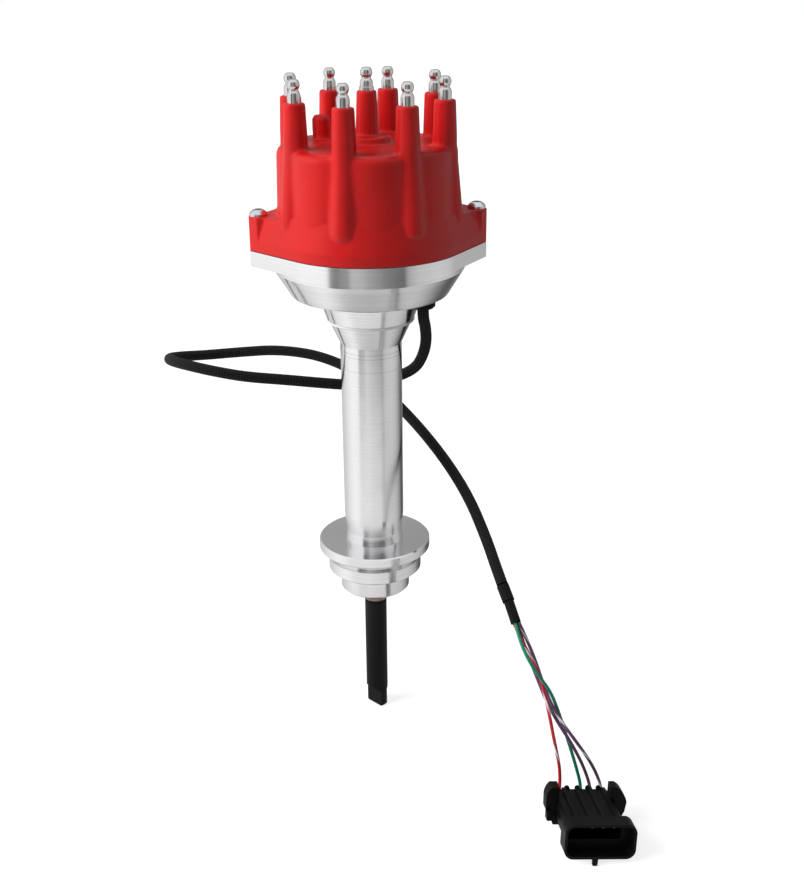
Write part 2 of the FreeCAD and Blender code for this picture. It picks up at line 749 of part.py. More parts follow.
def make_sensor(label, angle, top, wheel_radius):
    """A moulded pickup block with a foot, standing beside its trigger wheel."""
    body = new_body(label)
    near = "(%s + sensor_gap)" % wheel_radius
    far = "(%s + sensor_length)" % near
    half = "(sensor_width / 2)"
    block = draw(new_sketch(body, "XY_Plane", "bowl_floor + plate_thickness"), [
        (far + " - sensor_corner", half), (near + " + sensor_corner", half),
        (near, half + " - sensor_corner", "sensor_corner", 1),
        (near, "-%s + sensor_corner" % half),
        (near + " + sensor_corner", "-" + half, "sensor_corner", 1),
        (far + " - sensor_corner", "-" + half),
        (far, "-%s + sensor_corner" % half, "sensor_corner", 1),
        (far, half + " - sensor_corner"),
        (far + " - sensor_corner", half, "sensor_corner", 1),
    ][1:])
    pad(body, block, "%s - bowl_floor - plate_thickness" % top)
    foot = draw(new_sketch(body, "XY_Plane", "bowl_floor + plate_thickness"), [
        (near + " - 4", "-" + half + " + 2"), (near + " + 2", "-" + half + " + 2"),
        (near + " + 2", half + " - 2"), (near + " - 4", half + " - 2"),
    ])
    pad(body, foot, "sensor_foot_height")
    seat(body, angle=size(angle))


def make_sensor_plate():
    plate = turned("sensor_plate", [
        ("plate_bore", "bowl_floor"), ("plate_radius", "bowl_floor"),
        ("plate_radius", "bowl_floor + plate_thickness"),
        ("plate_bore", "bowl_floor + plate_thickness"),
    ])
    holes = new_sketch(plate, "XY_Plane", "bowl_floor - 1")
    for angle in PLATE_SCREW_ANGLES:
        draw_circle(holes, "plate_screw_circle * cos(%g)" % angle,
                    "plate_screw_circle * sin(%g)" % angle, "plate_screw_radius + running_gap")
    draw_circle(holes, "grommet_x", "grommet_y", "grommet_radius + loose_gap")
    pad(plate, holes, "plate_thickness + 2", "Pocket", True)
    for number, angle in enumerate(PLATE_SCREW_ANGLES, start=1):
        screw = turned("sensor_screw_%d" % number, [
            ("0", "bowl_floor - plate_screw_depth + loose_gap"),
            ("plate_screw_radius", "bowl_floor - plate_screw_depth + loose_gap"),
            ("plate_screw_radius", "bowl_floor + plate_thickness"),
            ("plate_screw_head", "bowl_floor + plate_thickness"),
            ("plate_screw_head", "bowl_floor + plate_thickness + plate_screw_head_height"),
            ("0", "bowl_floor + plate_thickness + plate_screw_head_height"),
        ])
        seat(screw, "plate_screw_circle * cos(%g)" % angle,
             "plate_screw_circle * sin(%g)" % angle)


def make_rotor():
    bore = "shaft_radius + seat_gap"
    base = turned("rotor_base", [
        (bore, "rotor_base_bottom"), ("rotor_base_hub_radius", "rotor_base_bottom"),
        ("rotor_base_hub_radius", "rotor_base_flange"), ("rotor_base_radius", "rotor_base_flange"),
        ("rotor_base_radius", "shaft_top"), (bore, "shaft_top"),
    ])
    taps = new_sketch(base, "XY_Plane", "shaft_top")
    draw_circle(taps, "0", "rotor_screw_circle", "rotor_screw_radius + seat_gap")
    draw_circle(taps, "0", "-rotor_screw_circle", "rotor_screw_radius + seat_gap")
    pad(base, taps, "shaft_top - rotor_base_flange + 1", "Pocket")
    rotor = turned("rotor_body", [
        ("0", "shaft_top"), ("rotor_disc_radius", "shaft_top"),
        ("rotor_disc_radius", "rotor_disc_top - 1"), ("rotor_disc_radius - 1", "rotor_disc_top"),
        ("rotor_post_radius + 2", "rotor_disc_top"),
        ("rotor_post_radius", "rotor_disc_top + 2", "2", -1),
        ("rotor_post_radius - 1", "rotor_top"), ("0", "rotor_top"),
    ])
    arm = draw(new_sketch(rotor, "XY_Plane", "rotor_arm_bottom"), [
        ("0", "-rotor_arm_width / 2"), ("rotor_arm_reach", "-rotor_arm_width / 2"),
        ("rotor_arm_reach", "rotor_arm_width / 2", "rotor_arm_width", 1),
        ("0", "rotor_arm_width / 2"),
    ])
    pad(rotor, arm, "rotor_top - rotor_arm_bottom")
    web = draw(new_sketch(rotor, "XZ_Plane"), [
        ("0", "rotor_disc_top - 1"), ("rotor_disc_radius - 2", "rotor_disc_top - 1"),
        ("rotor_arm_reach - 2", "rotor_arm_bottom + 1"), ("0", "rotor_arm_bottom + 1"),
    ])
    gusset = pad(rotor, web, "rotor_arm_width / 4")
    gusset.Midplane = True
    holes = new_sketch(rotor, "XY_Plane", "rotor_disc_top")
    draw_circle(holes, "0", "rotor_screw_circle", "rotor_screw_radius + running_gap")
    draw_circle(holes, "0", "-rotor_screw_circle", "rotor_screw_radius + running_gap")
    pad(rotor, holes, "rotor_disc_top - shaft_top + 1", "Pocket")
    for number, side in enumerate(("", "-"), start=1):
        screw = turned("rotor_screw_%d" % number, [
            ("0", "rotor_base_flange + loose_gap"),
            ("rotor_screw_radius", "rotor_base_flange + loose_gap"),
            ("rotor_screw_radius", "rotor_disc_top"), ("plate_screw_head", "rotor_disc_top"),
            ("plate_screw_head", "rotor_disc_top + plate_screw_head_height"),
            ("0", "rotor_disc_top + plate_screw_head_height"),
        ])
        seat(screw, y=side + "rotor_screw_circle")
    blade = new_body("rotor_blade")
    strip = draw(new_sketch(blade, "XY_Plane", "rotor_top"), [
        ("-blade_back", "-blade_width / 2"), ("blade_reach - 1", "-blade_width / 2"),
        ("blade_reach - 1", "blade_width / 2", "blade_reach", 1),
        ("-blade_back", "blade_width / 2"),
    ])
    pad(blade, strip, "blade_thickness")
    leaf = new_body("rotor_contact_spring")
    low = "rotor_top + blade_thickness"
    profile = draw(new_sketch(leaf, "XZ_Plane"), [
        ("blade_back + 6", low), ("blade_back + 6", low + " + spring_leaf_thickness"),
        ("blade_back", low + " + spring_leaf_thickness"),
        ("2.5", low + " + spring_leaf_rise + spring_leaf_thickness"),
        ("-2.5", low + " + spring_leaf_rise + spring_leaf_thickness"),
        ("-2.5", low + " + spring_leaf_rise"), ("2.5", low + " + spring_leaf_rise"),
        ("blade_back", low),
    ])
    strip = pad(leaf, profile, "spring_leaf_width")
    strip.Midplane = True


def loft(body, low, high):
    """A ruled solid between two outlines with the same number of edges."""
    made = body.newObject("PartDesign::AdditiveLoft", body.Label + "_loft")
    made.Profile = low
    made.Sections = [high]
    made.Ruled = True
    return made


def turn_about_line(body, label, start, end, points):
    """A profile turned round a line of its own, in the upright plane of the first tower."""
    sketch = draw(new_sketch(body, "XZ_Plane"), points)
    sketch.AttachmentOffset = Placement(Vector(0, 0, 0), Rotation(Vector(0, 1, 0), FIRST_TOWER))
    line = sketch.addGeometry(Part.LineSegment(Vector(size(start[0]), size(start[1]), 0),
                                               Vector(size(end[0]), size(end[1]), 0)), True)
    fix_point(sketch, line, 1, start[0], start[1])
    fix_point(sketch, line, 2, end[0], end[1])
    made = body.newObject("PartDesign::Revolution", label)
    made.Profile = sketch
    made.ReferenceAxis = (sketch, ["Axis0"])
    made.Angle = 360.0
    return made


def make_cap_skirt(body):
    """Rim, leaning skirt and the two ear bosses."""
    rim_top = "(split_level + rim_height)"
    outer = ear_outline("band_radius", "ear_reach", "ear_tip_half")
    pad(body, draw(new_sketch(body, "XY_Plane", "split_level"), outer), "rim_height")
    low = draw(new_sketch(body, "XY_Plane", rim_top), outer)
    high = draw(new_sketch(body, "XY_Plane", "skirt_top"),
                ear_outline("skirt_top_radius", "skirt_top_reach", "skirt_tip_half"))
    loft(body, low, high)
    over_ears = new_sketch(body, "XY_Plane", "skirt_top + 1")
    for side in ("", "-"):
        draw(over_ears, [
            (side + "bowl_bore_radius", "-skirt_top_radius"),
            (side + "(ear_reach + 1)", "-skirt_top_radius"),
            (side + "(ear_reach + 1)", "skirt_top_radius"),
            (side + "bowl_bore_radius", "skirt_top_radius"),
        ])
    pad(body, over_ears, "skirt_top + 1 - ear_top", "Pocket")
    pads = new_sketch(body, "XY_Plane", rim_top)
    lean = "(atan2(ear_tip_half; ear_reach) + acos(band_radius / hypot(ear_tip_half; ear_reach)))"
    shoulder = "(ear_reach - (ear_pad_half - ear_tip_half) * tan(%s))" % lean
    for side in ("", "-"):
        draw(pads, [
            (side + "bowl_bore_radius", "-ear_pad_half"), (side + shoulder, "-ear_pad_half"),
            (side + "ear_reach", "-ear_tip_half"), (side + "ear_reach", "ear_tip_half"),
            (side + shoulder, "ear_pad_half"), (side + "bowl_bore_radius", "ear_pad_half"),
        ])
    pad(body, pads, "ear_top - " + rim_top)


def make_cap_towers(body):
    """One tower and its leaning rib, repeated round the cap."""
    centre = "tower_circle"
    tower = turn_about_line(body, "cap_tower", (centre, "0"), (centre, "10"), [
        (centre, "tower_base"), (centre + " + tower_base_radius", "tower_base"),
        (centre + " + tower_top_radius", "tower_top - tower_edge"),
        (centre + " + tower_top_radius - tower_edge", "tower_top", "tower_edge", 1),
        (centre, "tower_top"),
    ])
    lean = "atan2(rib_foot_circle - tower_circle; rib_top - rib_foot)"
    along = ("(-sin(%s))" % lean, "cos(%s)" % lean)
    across = ("cos(%s)" % lean, "sin(%s)" % lean)
    foot = ("rib_foot_circle", "rib_foot")
    rib = turn_about_line(body, "cap_rib", foot, (centre, "rib_top"), [
        (foot[0] + " - rib_foot_radius * " + along[0], foot[1] + " - rib_foot_radius * " + along[1]),
        (foot[0] + " + rib_foot_radius * " + across[0],
         foot[1] + " + rib_foot_radius * " + across[1], "rib_foot_radius", 1),
        (centre + " + rib_top_radius * " + across[0],
         "rib_top + rib_top_radius * " + across[1]),
        (centre, "rib_top"),
    ])
    doc.recompute()
    pattern = body.newObject("PartDesign::PolarPattern", "cap_towers")
    pattern.Originals = [tower, rib]
    pattern.Axis = (plane(body, "Z_Axis"), [""])
    pattern.Angle = 360.0
    pattern.Occurrences = TOWERS
    body.Tip = pattern


def make_cap():
    body = new_body("distributor_cap")
    make_cap_skirt(body)
    foot = draw(new_sketch(body, "XY_Plane", "split_level"), panel_outline("cap_foot_radius"))
    deck = draw(new_sketch(body, "XY_Plane", "cap_deck"), panel_outline("cap_shoulder_radius"))
    loft(body, foot, deck)
    rounded(body, "shoulder_fillet", level_edge(size("cap_deck")))
    make_cap_towers(body)
    turn_about_z(body, "Revolution", [
        ("0", "cap_roof + 1"), ("boss_radius", "cap_roof + 1"),
        ("boss_top_radius", "boss_top - boss_edge"),
        ("boss_top_radius - boss_edge", "boss_top", "boss_edge", 1),
        ("coil_tower_foot_radius", "boss_top"),
        ("coil_tower_top_radius", "coil_tower_top - tower_edge"),
        ("coil_tower_top_radius - tower_edge", "coil_tower_top", "tower_edge", 1),
        ("0", "coil_tower_top"),
    ])
    for radius, top in (("vent_radius", "vent_step"), ("vent_crown_radius", "vent_top")):
        vent = new_sketch(body, "XY_Plane", "cap_roof + 1")
        draw_circle(vent, "vent_x", "vent_y", radius)
        pad(body, vent, top + " - cap_roof - 1")
        rounded(body, "tower_edge", level_edge(size(top)))
    lip = new_sketch(body, "XY_Plane", "cap_lip_bottom")
    draw_circle(lip, "0", "0", "cap_lip_radius")
    pad(body, lip, "split_level - cap_lip_bottom + 1")
    turn_about_z(body, "Groove", [
        ("0", "cap_lip_bottom - 1"), ("cap_bore_radius", "cap_lip_bottom - 1"),
        ("cap_bore_radius", "split_level"),
        ("cap_roof_radius", "cap_roof - cap_roof_fillet"),
        ("cap_roof_radius - cap_roof_fillet", "cap_roof", "cap_roof_fillet", 1),
        ("cap_core_radius", "cap_roof"), ("cap_core_radius", "cap_core_bottom"),
        ("0", "cap_core_bottom"),
    ])
    cuts = (
        ("screw_radius + loose_gap", "ear_top + 1", "split_level - 1", "screw_reach"),
        ("insert_radius + seat_gap", "insert_top + seat_gap", "contact_bottom", "tower_circle"),
        ("stud_radius + seat_gap", "tower_top + 1", "insert_top - 1", "tower_circle"),
    )
    for radius, high, low, reach in cuts:
        hole = new_sketch(body, "XY_Plane", high)
        if reach == "screw_reach":
            angles = (0.0, 180.0)
        else:
            angles = [FIRST_TOWER + number * TOWER_STEP for number in range(TOWERS)]
        for angle in angles:
            draw_circle(hole, "%s * cos(%g)" % (reach, angle), "%s * sin(%g)" % (reach, angle),
                        radius)
        pad(body, hole, "(%s) - (%s)" % (high, low), "Pocket")
    bore = new_sketch(body, "XY_Plane", "cap_core_bottom - 1")
    draw_circle(bore, "0", "0", "brush_sleeve_radius + seat_gap")
    pad(body, bore, "brush_sleeve_top + seat_gap - cap_core_bottom + 1", "Pocket", True)
    stud = new_sketch(body, "XY_Plane", "coil_tower_top + 1")
    draw_circle(stud, "0", "0", "stud_radius + seat_gap")
    pad(body, stud, "coil_tower_top - brush_sleeve_top + 2", "Pocket")
    breather = new_sketch(body, "XY_Plane", "vent_top + 1")
    draw_circle(breather, "vent_x", "vent_y", "vent_hole_radius")
    pad(body, breather, "vent_top - cap_roof + 2", "Pocket")


def terminal_profile(foot_points):
    """Outline of a ball-headed post over the top of its tower, from the axis outward."""
    drop = "sqrt(terminal_head_radius^2 - terminal_flat_radius^2)"
    dip = "sqrt(terminal_head_radius^2 - terminal_neck_radius^2)"
    ball = "(terminal_height - %s)" % drop
    return [
        ("0", "-stud_depth"), ("stud_radius", "-stud_depth"), ("stud_radius", "0"),
    ] + foot_points + [
        ("terminal_shank_radius", "terminal_shank_height"),
        ("terminal_shoulder_radius", "terminal_shoulder_height"),
        ("terminal_neck_radius", "terminal_shoulder_height + 0.4"),
        ("terminal_neck_radius", "%s - %s" % (ball, dip)),
        ("terminal_flat_radius", "terminal_height", "terminal_head_radius", 1),
        ("0", "terminal_height"),
    ]


def make_terminals():
    for number in range(TOWERS):
        angle = FIRST_TOWER + number * TOWER_STEP
        x = "tower_circle * cos(%g)" % angle
        y = "tower_circle * sin(%g)" % angle
        post = turned("plug_terminal_%d" % (number + 1),
                      terminal_profile([("terminal_shank_radius", "0")]))
        seat(post, x, y, "tower_top")
        insert = turned("contact_insert_%d" % (number + 1), [
            ("0", "contact_bottom"), ("insert_radius - 0.4", "contact_bottom"),
            ("insert_radius", "contact_bottom + 0.4"), ("insert_radius", "insert_top"),
            ("stud_radius + seat_gap", "insert_top"), ("stud_radius + seat_gap", "insert_hole"),
            ("0", "insert_hole"),
        ])
        seat(insert, x, y)
    coil = turned("coil_terminal", terminal_profile([
        ("coil_skirt_radius", "0"), ("coil_skirt_radius", "coil_skirt_height"),
        ("terminal_shank_radius", "coil_skirt_height + 0.3"),
    ]))
    seat(coil, z="coil_tower_top")
    turned("coil_contact", [
        ("brush_radius + running_gap", "brush_sleeve_bottom"),
        ("brush_sleeve_radius", "brush_sleeve_bottom"),
        ("brush_sleeve_radius", "brush_sleeve_top"), ("stud_radius + seat_gap", "brush_sleeve_top"),
        ("stud_radius + seat_gap", "coil_hole"), ("0", "coil_hole"), ("0", "brush_chamber_top"),
        ("brush_radius + running_gap", "brush_chamber_top"),
    ])
    low = "rotor_top + blade_thickness + spring_leaf_rise + spring_leaf_thickness + brush_gap"
    turned("carbon_brush", [
        ("0", low), ("brush_radius - 0.5", low), ("brush_radius", low + " + 0.5"),
        ("brush_radius", "brush_top"), ("0", "brush_top"),
    ])
    wire = size("brush_spring_wire")
    start = size("brush_top + seat_gap") + wire
    rise = size("brush_chamber_top - seat_gap") - wire - start
    path = Part.makeHelix(size("brush_spring_pitch"), rise, size("brush_spring_radius"))
    ring = Part.Wire([Part.makeCircle(wire, Vector(size("brush_spring_radius"), 0, 0),
                                      Vector(0, 1, 0))])
    coil_shape = Part.Wire(path.Edges).makePipeShell([ring], True, True)
    coil_shape.translate(Vector(0, 0, start))
    fixed_shape("brush_spring", coil_shape)


def make_cap_screws():
    for name, side in (("cap_screw_left", "-"), ("cap_screw_right", "")):
        screw = turned(name, [
            ("0", "screw_tip"), ("screw_radius - 0.5", "screw_tip"),
            ("screw_radius", "screw_tip + 0.5"), ("screw_radius", "ear_top"),
            ("screw_head_radius", "ear_top"), ("screw_head_radius", "ear_top + screw_head_rim"),
            ("screw_head_radius / 2", "ear_top + screw_head_height", "1.1 * screw_head_radius", 1),
            ("0", "ear_top + screw_head_height"),
        ])
        cross = new_sketch(screw, "XY_Plane", "ear_top + screw_head_height + 1")
        reach, half = "recess_reach", "recess_half"
        draw(cross, [
            (reach, "-" + half), (reach, half), (half, half), (half, reach), ("-" + half, reach),
            ("-" + half, half), ("-" + reach, half), ("-" + reach, "-" + half),
            ("-" + half, "-" + half), ("-" + half, "-" + reach), (half, "-" + reach),
            (half, "-" + half),
        ])
        pad(screw, cross, "recess_depth + 1", "Pocket")
        seat(screw, side + "screw_reach", angle=20.0)


def tube_along(points, radius):
    """A round tube: straight runs joined by arcs that use most of the shorter run."""
    spots = [Vector(*point) for point in points]
    edges = []
    reached = spots[0]
    for before, corner, after in zip(spots, spots[1:], spots[2:]):
        back = (before - corner)
        ahead = (after - corner)
        trim = 0.45 * min(back.Length, ahead.Length)
        first = corner + back.normalize() * trim
        last = corner + ahead.normalize() * trim
        turn = math.pi - back.getAngle(ahead)
        if turn < 0.01:
            continue
        inner = (back + ahead).normalize()
        bend = trim / math.tan(turn / 2.0)
        centre = corner + inner * (bend / math.cos(turn / 2.0))
        middle = centre - inner * bend
        edges.append(Part.LineSegment(reached, first).toShape())
        edges.append(Part.Arc(first, middle, last).toShape())
        reached = last
    edges.append(Part.LineSegment(reached, spots[-1]).toShape())
    ring = Part.Wire([Part.makeCircle(radius, spots[0], spots[1] - spots[0])])
    return Part.Wire(edges).makePipeShell([ring], True, False)


def make_harness():
    grommet = turned("harness_grommet", [
        ("grommet_bore", "grommet_bottom"),
        ("grommet_lip_radius - grommet_lip_edge", "grommet_bottom"),
        ("grommet_lip_radius", "grommet_bottom + grommet_lip_edge"),
        ("grommet_lip_radius", "bowl_underside - seat_gap"),
        ("grommet_neck_radius", "bowl_underside - seat_gap"),
        ("grommet_neck_radius", "bowl_floor + seat_gap"),
        ("grommet_radius", "bowl_floor + seat_gap"),
        ("grommet_radius", "bowl_floor + grommet_flange"),
        ("grommet_bore", "bowl_floor + grommet_flange"),
    ])
    seat(grommet, "grommet_x", "grommet_y")
    fixed_shape("harness_sleeve", tube_along(SLEEVE_ROUTE, size("sleeve_radius")))
    for name, points in SHRINK_ROUTES.items():
        fixed_shape(name, tube_along(points, size(name[7:] + "_shrink_radius")))
    for name, points in WIRE_ROUTES.items():
        fixed_shape(name, tube_along(points, size("wire_radius")))


def rounded_box(sketch, half, low, high, corner, middle="0"):
    """A rounded rectangle, its corners drawn as arcs."""
    left = "(%s) - (%s)" % (middle, half)
    right = "(%s) + (%s)" % (middle, half)
    return draw(sketch, [
        (right, high + " - " + corner), (right + " - " + corner, high, corner, 1),
        (left + " + " + corner, high), (left, high + " - " + corner, corner, 1),
        (left, low + " + " + corner), (left + " + " + corner, low, corner, 1),
        (right + " - " + corner, low), (right, low + " + " + corner, corner, 1),
    ])


def seat_connector(body):
    seat(body, "connector_x", "connector_y", "connector_z")
    body.Placement = Placement(body.Placement.Base, Rotation(*CONNECTOR_TURN))


def make_connector():
    """The connector's own Y axis runs from its mouth to the rear, where the wires come in."""
    shell = new_body("connector_shell")
    mouth = rounded_box(new_sketch(shell, "XZ_Plane"), "mouth_half", "0", "mouth_height",
                        "mouth_corner", "mouth_shift")
    pad(shell, mouth, "mouth_length", reverse=True)
    core = rounded_box(new_sketch(shell, "XZ_Plane"), "shell_half", "shell_bottom", "shell_top",
                       "shell_corner")
    pad(shell, core, "connector_length", reverse=True)
    ribs = new_sketch(shell, "XY_Plane", "shell_top - 1")
    for place in (-1.5, -0.5, 0.5, 1.5):
        centre = "(mouth_shift + %g * rib_pitch)" % place
        draw(ribs, [
            (centre + " - rib_half", "mouth_length - 1"),
            (centre + " + rib_half", "mouth_length - 1"),
            (centre + " + rib_half", "connector_length"),
            (centre + " - rib_half", "connector_length"),
        ])
    pad(shell, ribs, "rib_rise + 1")
    webs = new_sketch(shell, "XZ_Plane", "-connector_length")
    for place in (-1.5, -0.5, 0.5, 1.5):
        draw_circle(webs, "mouth_shift + %g * cavity_pitch" % place, "shell_top", "web_radius")
    pad(shell, webs, "web_length", reverse=True)
    nub = draw(new_sketch(shell, "XZ_Plane"), [
        ("nub_place - nub_tip_half", "-nub_height"), ("nub_place + nub_tip_half", "-nub_height"),
        ("nub_place + nub_half", "mouth_wall"), ("nub_place - nub_half", "mouth_wall"),
    ])
    pad(shell, nub, "nub_thickness", reverse=True)
    socket = rounded_box(new_sketch(shell, "XZ_Plane"), "(mouth_half - mouth_wall)",
                         "mouth_wall", "(mouth_height - mouth_wall)",
                         "(mouth_corner - mouth_wall)", "mouth_shift")
    pad(shell, socket, "mouth_length - mouth_wall", "Pocket")
    inner = rounded_box(new_sketch(shell, "XZ_Plane"), "(shell_half - mouth_wall)",
                        "(shell_bottom + mouth_wall)", "(shell_top - mouth_wall)", "1")
    pad(shell, inner, "socket_depth", "Pocket")
    seals = new_sketch(shell, "XZ_Plane", "-connector_length")
    pins = new_sketch(shell, "XZ_Plane", "-connector_length")
    for place in (-2, -1, 0, 1, 2):
        draw_circle(seals, "%d * cavity_pitch" % place, "cavity_height",
                    "cavity_radius + seat_gap")
        draw_circle(pins, "%d * cavity_pitch" % place, "cavity_height", "pin_bore")
    pad(shell, seals, "seal_depth", "Pocket", True)
    pad(shell, pins, "connector_length - socket_depth + 1", "Pocket", True)
    seat_connector(shell)
    make_connector_lock()
    make_connector_seals()
    make_connector_pins()


def make_connector_lock():
    """A yoke under the rear of the shell, with an ear that rises and leans on each side."""
    lock = new_body("connector_lock")
    inner = "(shell_half + running_gap)"
    floor = "(shell_bottom - running_gap)"
    roof = "(shell_top + loose_gap)"
    outline = draw(new_sketch(lock, "XZ_Plane", "-lock_front - lock_thickness"), [
        ("lock_bridge_half", "lock_bottom"), ("lock_right_foot", "lock_foot_height"),
        ("lock_right_lobe", "lock_right_lobe_height"),
        ("lock_right_reach", "lock_right_reach_height"),
        ("lock_right_bend", "lock_right_bend_height", "lock_round", 1),
        ("lock_right_top", "lock_top", "lock_round", 1), ("lock_right_inner", "lock_top"),
        ("lock_right_inner", roof + " + 1"), (inner, roof), (inner, floor), ("-" + inner, floor),
        ("-" + inner, roof), ("-lock_left_inner", roof + " + 1"), ("-lock_left_inner", "lock_top"),
        ("-lock_left_top", "lock_top"),
        ("-lock_left_reach", "lock_left_reach_height", "lock_round", 1),
        ("-lock_left_lobe", "lock_left_lobe_height"), ("-lock_left_foot", "lock_foot_height"),
        ("-lock_bridge_half", "lock_bottom"),
    ])
    pad(lock, outline, "lock_thickness")
    tab = draw(new_sketch(lock, "YZ_Plane", "-lock_left_lobe"), [
        ("lock_tab_front", "lock_foot_height"), ("lock_front + 1", "lock_foot_height"),
        ("lock_front + 1", "lock_left_lobe_height"), ("lock_tab_front + 1", "lock_left_lobe_height"),
    ])
    pad(lock, tab, "lock_tab_thickness")
    seat_connector(lock)


def make_connector_seals():
    """Soft seals round the wires, and the plug of the way that has no wire."""
    seals = new_body("connector_seals")
    level = "-connector_length"
    outline = new_sketch(seals, "XZ_Plane", level)
    for place in WAYS:
        draw_circle(outline, "%d * cavity_pitch" % place, "cavity_height", "cavity_radius")
    pad(seals, outline, "seal_depth - pin_back / 4")
    holes = new_sketch(seals, "XZ_Plane", level)
    for place in WAYS:
        draw_circle(holes, "%d * cavity_pitch" % place, "cavity_height", "pin_bore")
    pad(seals, holes, "seal_depth + 1", "Pocket", True)
    seat_connector(seals)
    plug = new_body("connector_plug")
    disc = new_sketch(plug, "XZ_Plane", level)
    draw_circle(disc, "%d * cavity_pitch" % EMPTY_WAY, "cavity_height", "cavity_radius")
    pad(plug, disc, "seal_depth - pin_back / 4")
    seat_connector(plug)


def make_connector_pins():
    pins = new_body("connector_pins")
    outline = new_sketch(pins, "XZ_Plane", "-connector_length + seal_depth")
    for place in WAYS:
        draw_circle(outline, "%d * cavity_pitch" % place, "cavity_height", "pin_radius")
    pad(pins, outline, "connector_length - seal_depth - pin_front")
    seat_connector(pins)


make_housing()
make_bearing()
make_snap_rings()
make_bush()
make_shaft()
make_trigger_wheels()
make_sensor("crank_sensor", "crank_sensor_angle", "crank_sensor_top", "crank_wheel_radius")
make_sensor("cam_sensor", "cam_sensor_angle", "cam_sensor_top", "cam_tab_radius")
make_sensor_plate()
make_rotor()
make_cap()
make_terminals()
make_cap_screws()
make_harness()
make_connector()

doc.recompute()
for item in doc.Objects:
    if "Invalid" in item.State or "Error" in item.State:
        raise RuntimeError("failed: %s %s %s" % (item.Name, item.Label, item.State))
os.makedirs("parts", exist_ok=True)
for part in subparts:
    if part.Shape.isNull() or not part.Shape.isValid():
        raise RuntimeError("bad shape: " + part.Label)
    print(part.Label, len(part.Shape.Solids), round(part.Shape.Volume, 1),
          [round(value, 2) for value in (part.Shape.BoundBox.XMin, part.Shape.BoundBox.XMax,
                                         part.Shape.BoundBox.YMin, part.Shape.BoundBox.YMax,
                                         part.Shape.BoundBox.ZMin, part.Shape.BoundBox.ZMax)])
    part.Shape.exportStep("parts/%s.step" % part.Label)
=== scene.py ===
import json
import math

import bmesh
import bpy
import numpy as np
from mathutils import Matrix, Vector


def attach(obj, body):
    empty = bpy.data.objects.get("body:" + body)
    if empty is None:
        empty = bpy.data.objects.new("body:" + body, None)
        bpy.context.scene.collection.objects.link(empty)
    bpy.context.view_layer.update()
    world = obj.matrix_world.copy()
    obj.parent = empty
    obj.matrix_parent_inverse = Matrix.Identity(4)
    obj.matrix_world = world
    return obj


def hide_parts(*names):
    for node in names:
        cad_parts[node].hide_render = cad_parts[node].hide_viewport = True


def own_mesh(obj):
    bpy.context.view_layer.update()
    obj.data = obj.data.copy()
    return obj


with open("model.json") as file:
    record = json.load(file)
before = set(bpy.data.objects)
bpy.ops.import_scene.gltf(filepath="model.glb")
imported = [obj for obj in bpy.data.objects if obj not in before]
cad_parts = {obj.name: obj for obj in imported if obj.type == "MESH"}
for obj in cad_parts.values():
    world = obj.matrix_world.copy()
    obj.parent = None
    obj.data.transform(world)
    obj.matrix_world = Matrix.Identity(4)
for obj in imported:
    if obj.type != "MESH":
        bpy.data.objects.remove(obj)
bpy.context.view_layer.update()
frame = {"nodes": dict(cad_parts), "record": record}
nodes = frame["nodes"]
MM = 0.001
FLOOR = -93.9

# Camera: the photograph's viewpoint in millimetres, the way it looks, and its roll in degrees
CAMERA_PLACE = (-70.82, -645.43, 339.29)
CAMERA_AIM = (0.12418, 0.91890, -0.37444)
CAMERA_ROLL = -0.514
CAMERA_LENS = 51.36
SENSOR_WIDTH = 36.0

# Routes of the harness, in millimetres, as the solids have them
SLEEVE_ROUTE = [
    (26.0, -16.2, 157.0), (26.0, -16.2, 151.5), (28.0, -10.8, 145.5), (29.8, -3.3, 134.6),
    (29.5, 6.6, 123.4), (27.0, 17.2, 112.6), (19.1, 25.8, 105.3), (6.3, 30.0, 101.2),
    (-8.7, 29.1, 100.1), (-26.7, 27.0, 103.2), (-47.0, 26.7, 106.4), (-68.4, 27.9, 108.8),
    (-86.7, 32.4, 111.8), (-100.9, 40.5, 113.4), (-110.2, 53.6, 112.1), (-112.3, 69.7, 108.7),
    (-105.4, 83.9, 104.8), (-91.1, 92.3, 102.1), (-71.3, 95.4, 101.9), (-46.2, 92.1, 103.4),
    (-19.1, 82.3, 100.6), (6.6, 64.0, 90.5), (25.8, 40.3, 75.8), (41.6, 12.8, 60.1),
    (51.9, -15.0, 45.8), (57.3, -40.0, 30.9), (59.5, -53.3, 21.9), (61.5, -63.0, 14.9),
]
